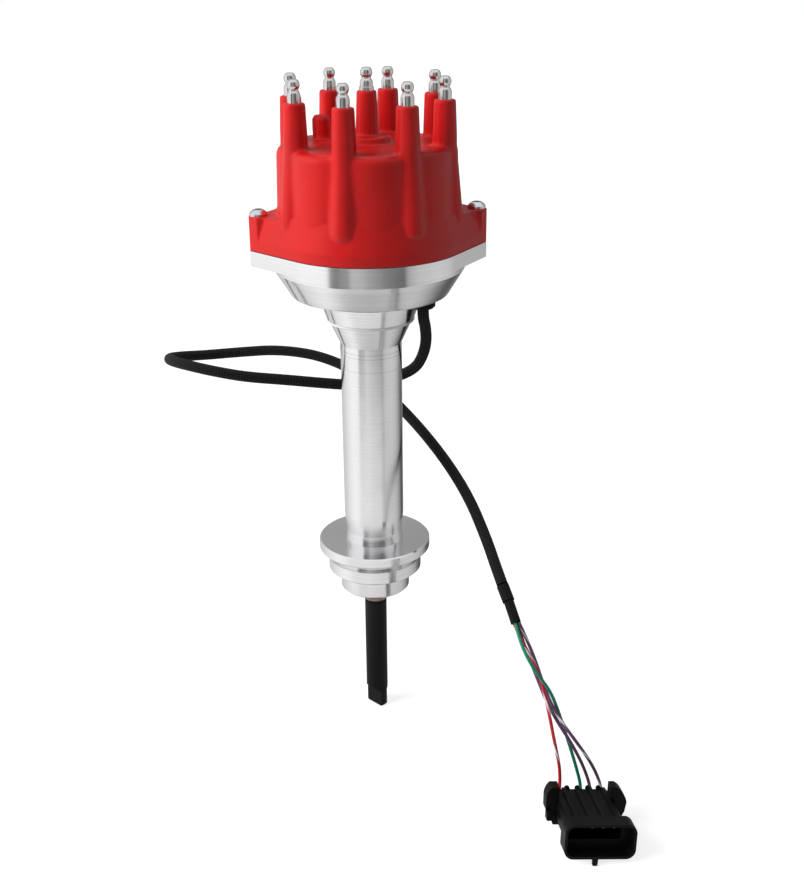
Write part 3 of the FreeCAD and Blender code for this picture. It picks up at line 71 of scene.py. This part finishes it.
WIRE_ROUTES = {
    "wire_red_white": [
        (64.9, -78.7, -0.6), (66.9, -86.3, -5.4), (70.5, -93.0, -12.0), (74.0, -98.0, -19.0),
        (76.5, -103.5, -29.5), (78.0, -108.5, -39.5), (80.9, -110.9, -55.8),
        (84.1, -111.2, -70.6), (84.3, -111.7, -84.7), (81.8, -118.3, -85.0),
    ],
    "wire_green": [
        (65.2, -80.2, 0.8), (65.4, -89.3, -4.0), (68.5, -97.5, -11.5), (73.0, -102.0, -18.5),
        (79.3, -103.8, -27.6), (84.4, -102.5, -41.4), (88.1, -105.2, -53.7),
        (92.1, -110.5, -67.9), (96.5, -112.3, -85.3), (93.1, -118.9, -85.9),
    ],
    "wire_violet": [
        (66.9, -78.2, -0.5), (68.4, -82.5, -7.4), (70.8, -87.6, -15.0), (74.5, -92.7, -25.4),
        (78.2, -100.3, -35.8), (82.4, -108.5, -43.6), (89.4, -110.4, -55.3),
        (96.8, -110.7, -70.6), (101.6, -112.5, -85.7), (98.7, -119.2, -86.3),
    ],
    "wire_violet_white": [
        (67.1, -79.6, 1.0), (70.7, -85.4, -7.4), (74.2, -90.3, -17.1), (77.4, -96.3, -28.2),
        (80.3, -103.7, -36.7), (85.9, -112.0, -45.0), (93.5, -113.4, -56.3),
        (101.9, -112.7, -70.6), (107.6, -112.8, -86.1), (104.4, -119.4, -86.7),
    ],
}
SLEEVE_RADIUS = 3.05
WIRE_RADIUS = 0.9
# How the stripes wind: metres per turn, and where the first one starts, as a share of a turn
STRIPES = {"wire_red_white": (0.0285, 0.20), "wire_violet_white": (0.024, 0.27)}
NO_STRIPE = (0.025, 0.0)

# Heights of thin dark rings on the tube, in metres
DARK_RING_HEIGHTS = (0.1318, 0.1296, 0.1222)

# Light levels, at which 1 is white
STAGE_GLOW = 0.78
SKY_LEVEL = 0.27
KEY_POWER = 36.0

# How bright the studio is as metal sees it: degrees from the front, right is positive, and
# level. Under is the shaded sheet below the object, near is the sheet round it, and far is
# the sheet further out and the room. Overhead is the ceiling.
UNDER_STUDIO = (0.40, 0.40, 0.40)
OVERHEAD_STUDIO = (0.95, 0.95, 0.95)
NEAR_STUDIO = [
    (-180, 0.60), (-135, 0.72), (-110, 0.90), (-86, 1.04), (-68, 1.02), (-58, 0.92),
    (-36, 0.92), (-21, 0.90), (-6, 0.86), (8, 0.84), (23, 0.80), (36, 0.62), (43, 0.68),
    (73, 0.64), (92, 0.54), (108, 0.36), (125, 0.10), (140, 0.10), (180, 0.50),
]
FAR_STUDIO = [
    (-180, 0.40), (-150, 0.60), (-125, 0.92), (-90, 1.07), (-57, 1.06), (-52, 0.20),
    (-44, 0.12), (-40, 0.24), (-32, 0.24), (-27, 0.50), (-16, 0.44), (-8, 0.33), (4, 0.24),
    (14, 0.15), (34, 0.12), (39, 0.42), (52, 0.58), (80, 0.68), (100, 0.62), (125, 0.35),
    (165, 0.28), (180, 0.40),
]
WHITE = (1.0, 1.0, 1.0)


def place_camera():
    ahead = Vector(CAMERA_AIM).normalized()
    right = ahead.cross(Vector((0, 0, 1))).normalized()
    up = right.cross(ahead)
    roll = math.radians(CAMERA_ROLL)
    across = right * math.cos(roll) + up * math.sin(roll)
    upward = up * math.cos(roll) - right * math.sin(roll)
    turn = Matrix((across, upward, -ahead)).transposed().to_4x4()
    data = bpy.data.cameras.new("camera")
    data.lens = CAMERA_LENS
    data.sensor_width = SENSOR_WIDTH
    data.sensor_fit = "AUTO"
    data.clip_start = 0.01
    data.clip_end = 20.0
    camera = new_object("camera", data)
    camera.matrix_world = Matrix.Translation(Vector(CAMERA_PLACE) * MM) @ turn
    bpy.context.scene.camera = camera


def new_object(name, data):
    made = bpy.data.objects.new(name, data)
    bpy.context.scene.collection.objects.link(made)
    return made


# Materials
class Nodes:
    """Adds nodes to one node tree."""

    def __init__(self, tree):
        self.tree = tree

    def node(self, kind, **values):
        """A new node. Each value goes to the property of that name, or else to the socket."""
        made = self.tree.nodes.new(kind)
        for key, value in values.items():
            if hasattr(made, key):
                setattr(made, key, value)
            else:
                made.inputs[key.replace("_", " ")].default_value = value
        return made

    def link(self, source, target):
        self.tree.links.new(source, target)

    def put(self, socket, value):
        """Give a socket a plain value, or link it to another node's output."""
        if hasattr(value, "links"):
            self.link(value, socket)
        else:
            socket.default_value = value

    def parts(self, source):
        """The X, Y and Z of a place or direction."""
        made = self.node("ShaderNodeSeparateXYZ")
        self.link(source, made.inputs["Vector"])
        return made.outputs

    def math(self, operation, *values):
        made = self.node("ShaderNodeMath", operation=operation)
        for socket, value in zip(made.inputs, values):
            self.put(socket, value)
        return made.outputs[0]

    def ramp(self, source, low, high, start=0.0, end=1.0):
        """Map a grey value onto a range, clamped."""
        made = self.node("ShaderNodeMapRange", From_Min=start, From_Max=end, To_Min=low,
                         To_Max=high)
        self.link(source, made.inputs["Value"])
        return made.outputs["Result"]

    def step(self, source, start, end):
        """From 0 to 1 as a value goes from start to end, eased at both."""
        made = self.node("ShaderNodeMapRange", interpolation_type="SMOOTHSTEP",
                         From_Min=start, From_Max=end)
        self.link(source, made.inputs["Value"])
        return made.outputs["Result"]

    def mix(self, factor, first, second):
        """Blend two colours by a grey value."""
        made = self.node("ShaderNodeMix", data_type="RGBA")
        self.link(factor, made.inputs[0])
        for socket, value in ((made.inputs[6], first), (made.inputs[7], second)):
            self.put(socket, value if hasattr(value, "links") else (*value, 1.0))
        return made.outputs[2]

    def studio(self, source, levels):
        """A level that follows the turn of a place or direction round the object."""
        way = self.parts(source)
        turn = self.math("ARCTAN2", way["X"], self.math("MULTIPLY", way["Y"], -1.0))
        share = self.math("MULTIPLY_ADD", turn, 0.5 / math.pi, 0.5)
        made = self.node("ShaderNodeValToRGB")
        self.link(share, made.inputs[0])
        stops = made.color_ramp.elements
        places = [degrees / 360.0 + 0.5 for degrees, _ in levels]
        for place in places[1:-1]:
            stops.new(place)
        for stop, place, (_, level) in zip(stops, places, levels):
            stop.position = place
            stop.color = (level, level, level, 1.0)
        return made.outputs["Color"]


class Shader(Nodes):
    """A material built node by node round one principled shader."""

    def __init__(self, name, color, metallic=0.0, roughness=0.5, **extra):
        self.material = bpy.data.materials.new(name)
        self.material.use_nodes = True
        super().__init__(self.material.node_tree)
        self.main = self.tree.nodes["Principled BSDF"]
        self.main.inputs["Base Color"].default_value = (*color, 1.0)
        self.main.inputs["Metallic"].default_value = metallic
        self.main.inputs["Roughness"].default_value = roughness
        for socket, value in extra.items():
            self.main.inputs[socket.replace("_", " ")].default_value = value
        self.material.diffuse_color = (*color, 1.0)
        self.coords = self.node("ShaderNodeTexCoord").outputs

    def noise(self, scale, detail, stretch=(1, 1, 1)):
        mapping = self.node("ShaderNodeMapping", Scale=stretch)
        self.link(self.coords["Object"], mapping.inputs["Vector"])
        made = self.node("ShaderNodeTexNoise", Scale=scale, Detail=detail, Roughness=0.5)
        self.link(mapping.outputs["Vector"], made.inputs["Vector"])
        return made.outputs["Fac"]

    def set(self, socket, source):
        self.link(source, self.main.inputs[socket])

    def bump(self, height, distance):
        """Add relief. distance is the relief's full height, in metres."""
        made = self.node("ShaderNodeBump", Strength=1.0, Distance=distance)
        self.link(height, made.inputs["Height"])
        if self.main.inputs["Normal"].links:
            before = self.main.inputs["Normal"].links[0].from_socket
            self.link(before, made.inputs["Normal"])
        self.set("Normal", made.outputs["Normal"])


def scaled(color, share):
    return tuple(channel * share for channel in color)


def metal(name, color, roughness, lathe=False, grain=0.0):
    """Metal with a cloudy polish. lathe adds the sheen of turning and thin dark rings at given
    heights.
    """
    made = Shader(name, color, metallic=1.0, roughness=roughness)
    cloud = made.noise(60.0, 4.0)
    made.set("Roughness", made.ramp(cloud, roughness * 0.85, roughness * 1.2, 0.3, 0.7))
    if lathe:
        made.main.inputs["Anisotropic"].default_value = 0.85
        made.main.inputs["Anisotropic Rotation"].default_value = 0.25
        around = made.node("ShaderNodeTangent", direction_type="RADIAL", axis="Z")
        made.set("Tangent", around.outputs["Tangent"])
        turning = made.noise(1.0, 2.0, stretch=(3.0, 3.0, 1800.0))
        finish = made.mix(made.ramp(turning, 0.0, 1.0, 0.4, 0.6), scaled(color, 0.92), color)
        made.set("Base Color", dark_rings(made, finish, scaled(color, 0.72)))
        made.bump(turning, 0.0000005)
    if grain:
        made.bump(made.noise(2500.0, 2.0), grain)
    return made


def dark_rings(made, finish, dark):
    """Thin dark rings in the colour at the given heights."""
    half_width = 0.00016
    height = made.parts(made.coords["Object"])["Z"]
    for ring in DARK_RING_HEIGHTS:
        away = made.math("ABSOLUTE", made.math("SUBTRACT", height, ring))
        finish = made.mix(made.math("LESS_THAN", away, half_width), finish, dark)
    return finish


def plastic(name, color, roughness, grain, shine=0.5):
    """Moulded plastic with a faint cloud in its colour and gloss."""
    made = Shader(name, color, roughness=roughness, Specular_IOR_Level=shine)
    cloud = made.noise(45.0, 3.0)
    made.set("Base Color", made.mix(made.ramp(cloud, 0.0, 1.0, 0.35, 0.65),
                                    scaled(color, 0.86), color))
    made.set("Roughness", made.ramp(cloud, roughness * 0.9, roughness * 1.15, 0.3, 0.7))
    made.bump(made.noise(1500.0, 2.0), grain)
    return made


aluminium = metal("aluminium", (0.89, 0.89, 0.90), 0.19, lathe=True)
# Painted highlight: a near-white, almost non-metal finish that keeps the neck lip bright all
# round, as a glint on its bevel would.
lip_painted_glint = Shader("lip_painted_glint", (0.93, 0.93, 0.94), metallic=0.2, roughness=0.35)
lip_painted_glint.bump(lip_painted_glint.noise(1500.0, 2.0), 0.00001)
bright = metal("bright", (0.68, 0.67, 0.66), 0.06)
zinc = metal("zinc", (0.70, 0.72, 0.76), 0.24, grain=0.00001)
ground = metal("ground", (0.66, 0.67, 0.68), 0.18)
oiled = metal("oiled", (0.30, 0.30, 0.31), 0.30)
wheel = metal("wheel", (0.52, 0.52, 0.53), 0.35, grain=0.00002)
oxide = Shader("oxide", (0.006, 0.006, 0.006), roughness=0.42, Specular_IOR_Level=0.2)
oxide.bump(oxide.noise(1800.0, 3.0), 0.00003)
bronze = metal("bronze", (0.36, 0.26, 0.24), 0.34, grain=0.00001)
brass = metal("brass", (0.78, 0.58, 0.28), 0.25)
tinned = metal("tinned", (0.22, 0.21, 0.20), 0.45)
red = plastic("red", (0.66, 0.009, 0.009), 0.38, 0.00003, shine=0.38)
rotor_red = plastic("rotor_red", (0.55, 0.010, 0.008), 0.42, 0.00003, shine=0.3)
black = plastic("black", (0.005, 0.005, 0.005), 0.45, 0.00003, shine=0.12)
rubber = plastic("rubber", (0.006, 0.006, 0.006), 0.62, 0.00004, shine=0.12)
shrink = plastic("shrink", (0.006, 0.006, 0.006), 0.50, 0.00004, shine=0.14)
carbon = plastic("carbon", (0.03, 0.03, 0.03), 0.55, 0.00003)


def braid_shader():
    """Black sleeving woven from fine shiny strands, two ways round."""
    made = Shader("braid", (0.006, 0.006, 0.006), roughness=0.62, Specular_IOR_Level=0.2)
    strands = 10.0
    rise = 0.0032
    place = made.parts(made.coords["UV"])
    across = made.math("MULTIPLY", place["X"], strands * 2.0 * math.pi)
    along = made.math("MULTIPLY", place["Y"], 2.0 * math.pi / rise)
    one_way = made.math("SINE", made.math("ADD", across, along))
    other_way = made.math("SINE", made.math("SUBTRACT", across, along))
    weave = made.math("MULTIPLY", one_way, other_way)
    made.set("Base Color", made.mix(made.ramp(weave, 0.0, 1.0, 0.3, 0.9),
                                    (0.004, 0.004, 0.004), (0.024, 0.024, 0.025)))
    made.set("Roughness", made.ramp(made.noise(900.0, 2.0), 0.5, 0.75))
    made.bump(weave, 0.00005)
    return made


def wire_shader(name, color, stripe=None):
    """Insulation, with a narrow stripe that winds round the wire."""
    made = Shader(name, color, roughness=0.34)
    half_stripe = 0.10
    if stripe:
        place = made.parts(made.coords["UV"])
        wound = made.math("FRACT", made.math("ADD", place["X"], place["Y"]))
        away = made.math("ABSOLUTE", made.math("SUBTRACT", wound, 0.5))
        made.set("Base Color", made.mix(made.math("LESS_THAN", away, half_stripe), color, stripe))
    made.bump(made.noise(2000.0, 2.0), 0.00001)
    return made


# Cords
def smooth_line(name, route):
    """The route's own smooth line, as points in metres."""
    data = bpy.data.curves.new(name, "CURVE")
    data.dimensions = "3D"
    data.resolution_u = 24
    spline = data.splines.new("NURBS")
    spline.points.add(len(route) - 1)
    for point, place in zip(spline.points, route):
        point.co = (*(Vector(place) * MM), 1.0)
    spline.order_u = 3
    spline.use_endpoint_u = True
    holder = new_object(name, data)
    mesh = evaluated_mesh(holder)
    points = [vertex.co.copy() for vertex in mesh.vertices]
    bpy.data.objects.remove(holder)
    bpy.data.meshes.remove(mesh)
    return points


def evaluated_mesh(holder):
    """A new mesh with the object's modifiers or curve worked out."""
    bpy.context.view_layer.update()
    return bpy.data.meshes.new_from_object(
        holder.evaluated_get(bpy.context.evaluated_depsgraph_get()))


def resampled(points, step):
    """Points a fixed step apart along a line, with the distance of each from its start."""
    gaps = [(after - before).length for before, after in zip(points, points[1:])]
    total = sum(gaps)
    count = max(int(round(total / step)), 2)
    reached = np.concatenate([[0.0], np.cumsum(gaps)])
    wanted = np.linspace(0.0, total, count + 1)
    table = np.array([list(point) for point in points])
    places = np.stack([np.interp(wanted, reached, table[:, axis]) for axis in range(3)], axis=1)
    return [Vector(place) for place in places], wanted


def tube(name, points, rows, radius, around, shape=None):
    """A tube mesh along points. Its UV is the share of a turn, and each ring's row value.

    shape(angle, row) scales its radius.
    """
    aheads = [(points[min(i + 1, len(points) - 1)] - points[max(i - 1, 0)]).normalized()
              for i in range(len(points))]
    side = aheads[0].orthogonal().normalized()
    mesh = bmesh.new()
    layer = mesh.loops.layers.uv.new("UVMap")
    rings = []
    for place, ahead, row in zip(points, aheads, rows):
        side = (side - ahead * side.dot(ahead)).normalized()
        other = ahead.cross(side)
        ring = []
        for number in range(around):
            angle = 2.0 * math.pi * number / around
            size = radius * (shape(angle, row) if shape else 1.0)
            ring.append(mesh.verts.new(place + (side * math.cos(angle)
                                                + other * math.sin(angle)) * size))
        rings.append(ring)
    for index in range(len(rings) - 1):
        for number in range(around):
            after = (number + 1) % around
            face = mesh.faces.new((rings[index][number], rings[index][after],
                                   rings[index + 1][after], rings[index + 1][number]))
            face.smooth = True
            spots = ((number, index), (number + 1, index), (number + 1, index + 1),
                     (number, index + 1))
            for loop, (turn, at) in zip(face.loops, spots):
                loop[layer].uv = (turn / around, rows[at])
    mesh.faces.new(rings[0])
    mesh.faces.new(list(reversed(rings[-1])))
    return finished_mesh(name, mesh)


def finished_mesh(name, mesh):
    """An object from a bmesh, with its normals outward."""
    bmesh.ops.recalc_face_normals(mesh, faces=mesh.faces)
    data = bpy.data.meshes.new(name)
    mesh.to_mesh(data)
    mesh.free()
    return new_object(name, data)


def finish_piece(piece, body, slot, material, *replaced):
    piece.data.materials.clear()
    piece.data.materials.append(material)
    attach(piece, body)
    if replaced:
        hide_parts(*replaced)


def braid_relief(angle, distance):
    """How the sleeve's strands stand out, as a factor on its radius."""
    strands = 12
    braid_pitch = 0.011
    along = 2.0 * math.pi * strands * distance / braid_pitch / 4
    return 1.0 + 0.010 * math.sin(strands * angle + along) * math.sin(strands * angle - along)


def make_sleeve():
    line = smooth_line("sleeve_line", SLEEVE_ROUTE)
    points, distances = resampled(line, 0.0005)
    sleeve = tube("sleeve", points, distances, SLEEVE_RADIUS * MM, 48, braid_relief)
    finish_piece(sleeve, "housing_body", "braided_sleeve", braid_shader().material,
                 "harness_sleeve")


def make_leads():
    red_wire = wire_shader("wire_red", (0.62, 0.015, 0.03), (0.85, 0.80, 0.80))
    green = wire_shader("wire_green", (0.0, 0.23, 0.14))
    violet = wire_shader("wire_violet", (0.135, 0.060, 0.135))
    pale = wire_shader("wire_violet_pale", (0.135, 0.060, 0.135), (0.75, 0.72, 0.76))
    looks = {
        "wire_red_white": (red_wire, "red_insulation"),
        "wire_green": (green, "green_insulation"),
        "wire_violet": (violet, "violet_insulation"),
        "wire_violet_white": (pale, "violet_white_insulation"),
    }
    for name, route in WIRE_ROUTES.items():
        shader, slot = looks[name]
        line = smooth_line(name + "_line", route)
        points, distances = resampled(line, 0.0015)
        pitch, start = STRIPES.get(name, NO_STRIPE)
        turns = [start + distance / pitch for distance in distances]
        lead = tube(name.replace("wire", "lead"), points, turns, WIRE_RADIUS * MM, 20)
        finish_piece(lead, "housing_body", slot, shader.material, name)


# Rigid pieces
def relax(mesh, rounds, low, high):
    """Round off every hollow and edge between two heights, in metres."""
    places = np.empty(len(mesh.vertices) * 3)
    mesh.vertices.foreach_get("co", places)
    places = places.reshape(-1, 3)
    ends = np.empty(len(mesh.edges) * 2, dtype=np.int64)
    mesh.edges.foreach_get("vertices", ends)
    first, second = ends.reshape(-1, 2).T
    count = len(places)
    near = np.bincount(first, minlength=count) + np.bincount(second, minlength=count)
    fade = 0.003
    height = places[:, 2]
    hold = np.clip((height - low) / fade, 0, 1) * np.clip((high - height) / fade, 0, 1)
    for _ in range(rounds):
        for axis in range(3):
            along = places[:, axis]
            total = (np.bincount(first, along[second], count)
                     + np.bincount(second, along[first], count))
            places[:, axis] = along + 0.5 * hold * (total / np.maximum(near, 1) - along)
    mesh.vertices.foreach_set("co", places.ravel())
    mesh.update()


def make_cap():
    """The moulded cap: a copy of its solid with every edge softened."""
    voxel, smooth_rounds = 0.6, 3
    panels_low, panels_high = 0.207, 0.2455
    source = nodes["distributor_cap"]
    draft = new_object("cap_draft", source.data.copy())
    draft.matrix_world = source.matrix_world.copy()
    remesh = draft.modifiers.new("remesh", "REMESH")
    remesh.mode = "VOXEL"
    remesh.voxel_size = voxel * MM * 1.0
    smooth = draft.modifiers.new("smooth", "SMOOTH")
    smooth.factor = 0.5
    smooth.iterations = smooth_rounds
    shaped = evaluated_mesh(draft)
    relax(shaped, 24, panels_low, panels_high)
    shaped.polygons.foreach_set("use_smooth", [True] * len(shaped.polygons))
    piece = new_object("cap_moulding", shaped)
    piece.matrix_world = source.matrix_world.copy()
    bpy.data.objects.remove(draft)
    finish_piece(piece, "housing_body", "red_moulding", red.material, "distributor_cap")


def turned(name, outline, place, slot, material, *replaced):
    """A piece turned about its axis from (radius, height) points, in millimetres."""
    around = 48
    sharp = math.radians(25)
    mesh = bmesh.new()
    rings = []
    for radius, height in outline:
        if radius == 0:
            rings.append([mesh.verts.new((0, 0, height * MM))])
            continue
        rings.append([mesh.verts.new((radius * MM * math.cos(2 * math.pi * step / around),
                                      radius * MM * math.sin(2 * math.pi * step / around),
                                      height * MM)) for step in range(around)])
    for low, high in zip(rings, rings[1:]):
        for step in range(around):
            after = (step + 1) % around
            corners = [low[step % len(low)], low[after % len(low)], high[after % len(high)],
                       high[step % len(high)]]
            face = mesh.faces.new(list(dict.fromkeys(corners)))
            face.smooth = True
    for before, corner, after, ring in zip(outline, outline[1:], outline[2:], rings[1:]):
        first = Vector((corner[0] - before[0], corner[1] - before[1]))
        second = Vector((after[0] - corner[0], after[1] - corner[1]))
        if first.angle(second) > sharp:
            for step in range(len(ring)):
                mesh.edges.get((ring[step], ring[(step + 1) % len(ring)])).smooth = False
    piece = finished_mesh(name, mesh)
    piece.matrix_world = Matrix.Translation(Vector(place) * MM)
    finish_piece(piece, "housing_body", slot, material, *replaced)


def post_outline(foot):
    """Ball-headed post: a stud, a shank, a neck and a head that is flat on top."""
    head, head_height, neck, flat, top = 3.175, 8.551, 2.45, 1.75, 11.199
    edge, arc_steps = 0.25, 14
    low = -math.acos(neck / head)
    high = math.acos((flat + edge) / head)
    angles = [low + (high - low) * step / arc_steps for step in range(arc_steps + 1)]
    ball = [(head * math.cos(angle), head_height + head * math.sin(angle)) for angle in angles]
    return [(0, -17.0), (1.6, -17.0), (1.6, 0.0)] + foot + [
        (3.35, 3.9), (3.27, 4.25), (2.85, 5.2), (2.6, 5.5), (2.45, 5.8),
    ] + ball + [(flat, top - 0.06), (flat - edge, top), (0, top)]


def make_posts():
    circle, tower_top, middle_top = 40.41, 263.0, 266.5
    for number in range(8):
        turn = math.radians(22.5 + 45.0 * number)
        place = (circle * math.cos(turn), circle * math.sin(turn), tower_top)
        turned("post_%d" % (number + 1), post_outline([(3.35, 0.0)]), place, "bright_steel",
               bright.material, "plug_terminal_%d" % (number + 1))
    turned("post_middle", post_outline([(3.8, 0.0), (3.8, 1.6), (3.35, 1.9)]),
           (0, 0, middle_top), "bright_steel", bright.material, "coil_terminal")


def make_neck_lip():
    """The thin bevelled lip where the neck's two cones meet, near-white as a painted highlight.
    """
    outline = [(22.0, 147.4), (23.3, 147.5), (23.65, 147.8), (23.65, 148.75), (22.0, 148.95)]
    turned("neck_lip", outline, (0, 0, 0), "turned_aluminium", lip_painted_glint.material)


def make_brush_coil():
    """The spring over the carbon brush, which on the real part shortens as the brush is pushed
    up; here it is a copy of its solid with a mesh of its own.
    """
    source = nodes["brush_spring"]
    piece = new_object("brush_coil", source.data.copy())
    piece.matrix_world = source.matrix_world.copy()
    finish_piece(piece, "housing_body", "spring_steel", oiled.material, "brush_spring")
    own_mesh(piece)


LOOKS = {
    "turned_aluminium": aluminium, "red_moulding": red, "rotor_moulding": rotor_red,
    "black_oxide_steel": oxide, "bright_steel": bright, "bearing_steel": ground,
    "spring_steel": oiled, "wheel_steel": wheel, "zinc_steel": zinc, "bronze": bronze,
    "brass": brass, "black_plastic": black, "black_rubber": rubber, "shrink_tube": shrink,
    "carbon": carbon,
}


def dress_nodes():
    for row in frame["record"]["subparts"]:
        if row["material_slot"] in LOOKS:
            paint(nodes[row["node"]], LOOKS[row["material_slot"]])
    paint(nodes["connector_pins"], tinned)


def paint(piece, shader):
    for slot in piece.material_slots:
        slot.material = shader.material


# Studio
def make_stage():
    """A pale floor. The camera sees it white; glossy rays see it glow with a painted studio of
    bright and dark levels round the object, and painted shade under it.
    """
    reach = 6.0
    near_start, near_end = 0.12, 0.21
    far_start, far_end = 0.60, 0.80
    white_start, white_end = 0.5, 2.0
    stage = Shader("stage_white", (0.50, 0.50, 0.50), roughness=0.9, Specular_IOR_Level=0.1,
                   Emission_Color=(*WHITE, 1.0))
    ray = stage.node("ShaderNodeLightPath").outputs
    length = stage.node("ShaderNodeVectorMath", operation="LENGTH")
    stage.link(stage.coords["Object"], length.inputs[0])
    away = length.outputs["Value"]
    glow = stage.math("MULTIPLY_ADD", stage.step(away, white_start, white_end),
                      1.0 - STAGE_GLOW, STAGE_GLOW)
    stage.set("Emission Strength", stage.math("MULTIPLY", ray["Is Camera Ray"], glow))
    level = stage.mix(stage.step(away, near_start, near_end), UNDER_STUDIO,
                      stage.studio(stage.coords["Object"], NEAR_STUDIO))
    level = stage.mix(stage.step(away, far_start, far_end), level,
                      stage.studio(stage.coords["Object"], FAR_STUDIO))
    mirrored = stage.node("ShaderNodeEmission")
    stage.link(level, mirrored.inputs["Color"])
    either = stage.node("ShaderNodeMixShader")
    stage.link(ray["Is Glossy Ray"], either.inputs[0])
    stage.link(stage.main.outputs[0], either.inputs[1])
    stage.link(mirrored.outputs[0], either.inputs[2])
    stage.link(either.outputs[0], stage.tree.nodes["Material Output"].inputs["Surface"])
    mesh = bmesh.new()
    mesh.faces.new([mesh.verts.new((x, y, FLOOR * MM)) for x, y in (
        (-reach, -reach), (reach, -reach), (reach, reach), (-reach, reach))])
    data = bpy.data.meshes.new("floor")
    mesh.to_mesh(data)
    mesh.free()
    floor = new_object("floor", data)
    data.materials.append(stage.material)


def light_scene():
    """One large soft light from the upper left, over a low even light from all round."""
    world = bpy.data.worlds.new("studio")
    bpy.context.scene.world = world
    world.use_nodes = True
    sky = Nodes(world.node_tree)
    ray = sky.node("ShaderNodeLightPath").outputs
    way = sky.node("ShaderNodeTexCoord").outputs["Generated"]
    ceiling_start, ceiling_end = 0.55, 0.85
    room = sky.mix(sky.step(sky.parts(way)["Z"], ceiling_start, ceiling_end),
                   sky.studio(way, FAR_STUDIO), OVERHEAD_STUDIO)
    plain = sky.mix(ray["Is Camera Ray"], (SKY_LEVEL, SKY_LEVEL, SKY_LEVEL), WHITE)
    sky.link(sky.mix(ray["Is Glossy Ray"], plain, room),
             sky.tree.nodes["Background"].inputs["Color"])
    place, aim, side = Vector((-1.48, -0.25, 0.95)), Vector((0, 0, 0.08)), 1.3
    data = bpy.data.lights.new("key", "AREA")
    data.shape = "SQUARE"
    data.size = side
    data.energy = KEY_POWER
    lamp = new_object("key", data)
    turn = (aim - place).to_track_quat("-Z", "Y").to_matrix().to_4x4()
    lamp.matrix_world = Matrix.Translation(place) @ turn
    lamp.visible_glossy = False


bpy.context.scene.view_settings.view_transform = "Standard"
place_camera()
make_sleeve()
make_leads()
make_cap()
make_posts()
make_neck_lip()
make_brush_coil()
dress_nodes()
make_stage()
light_scene()
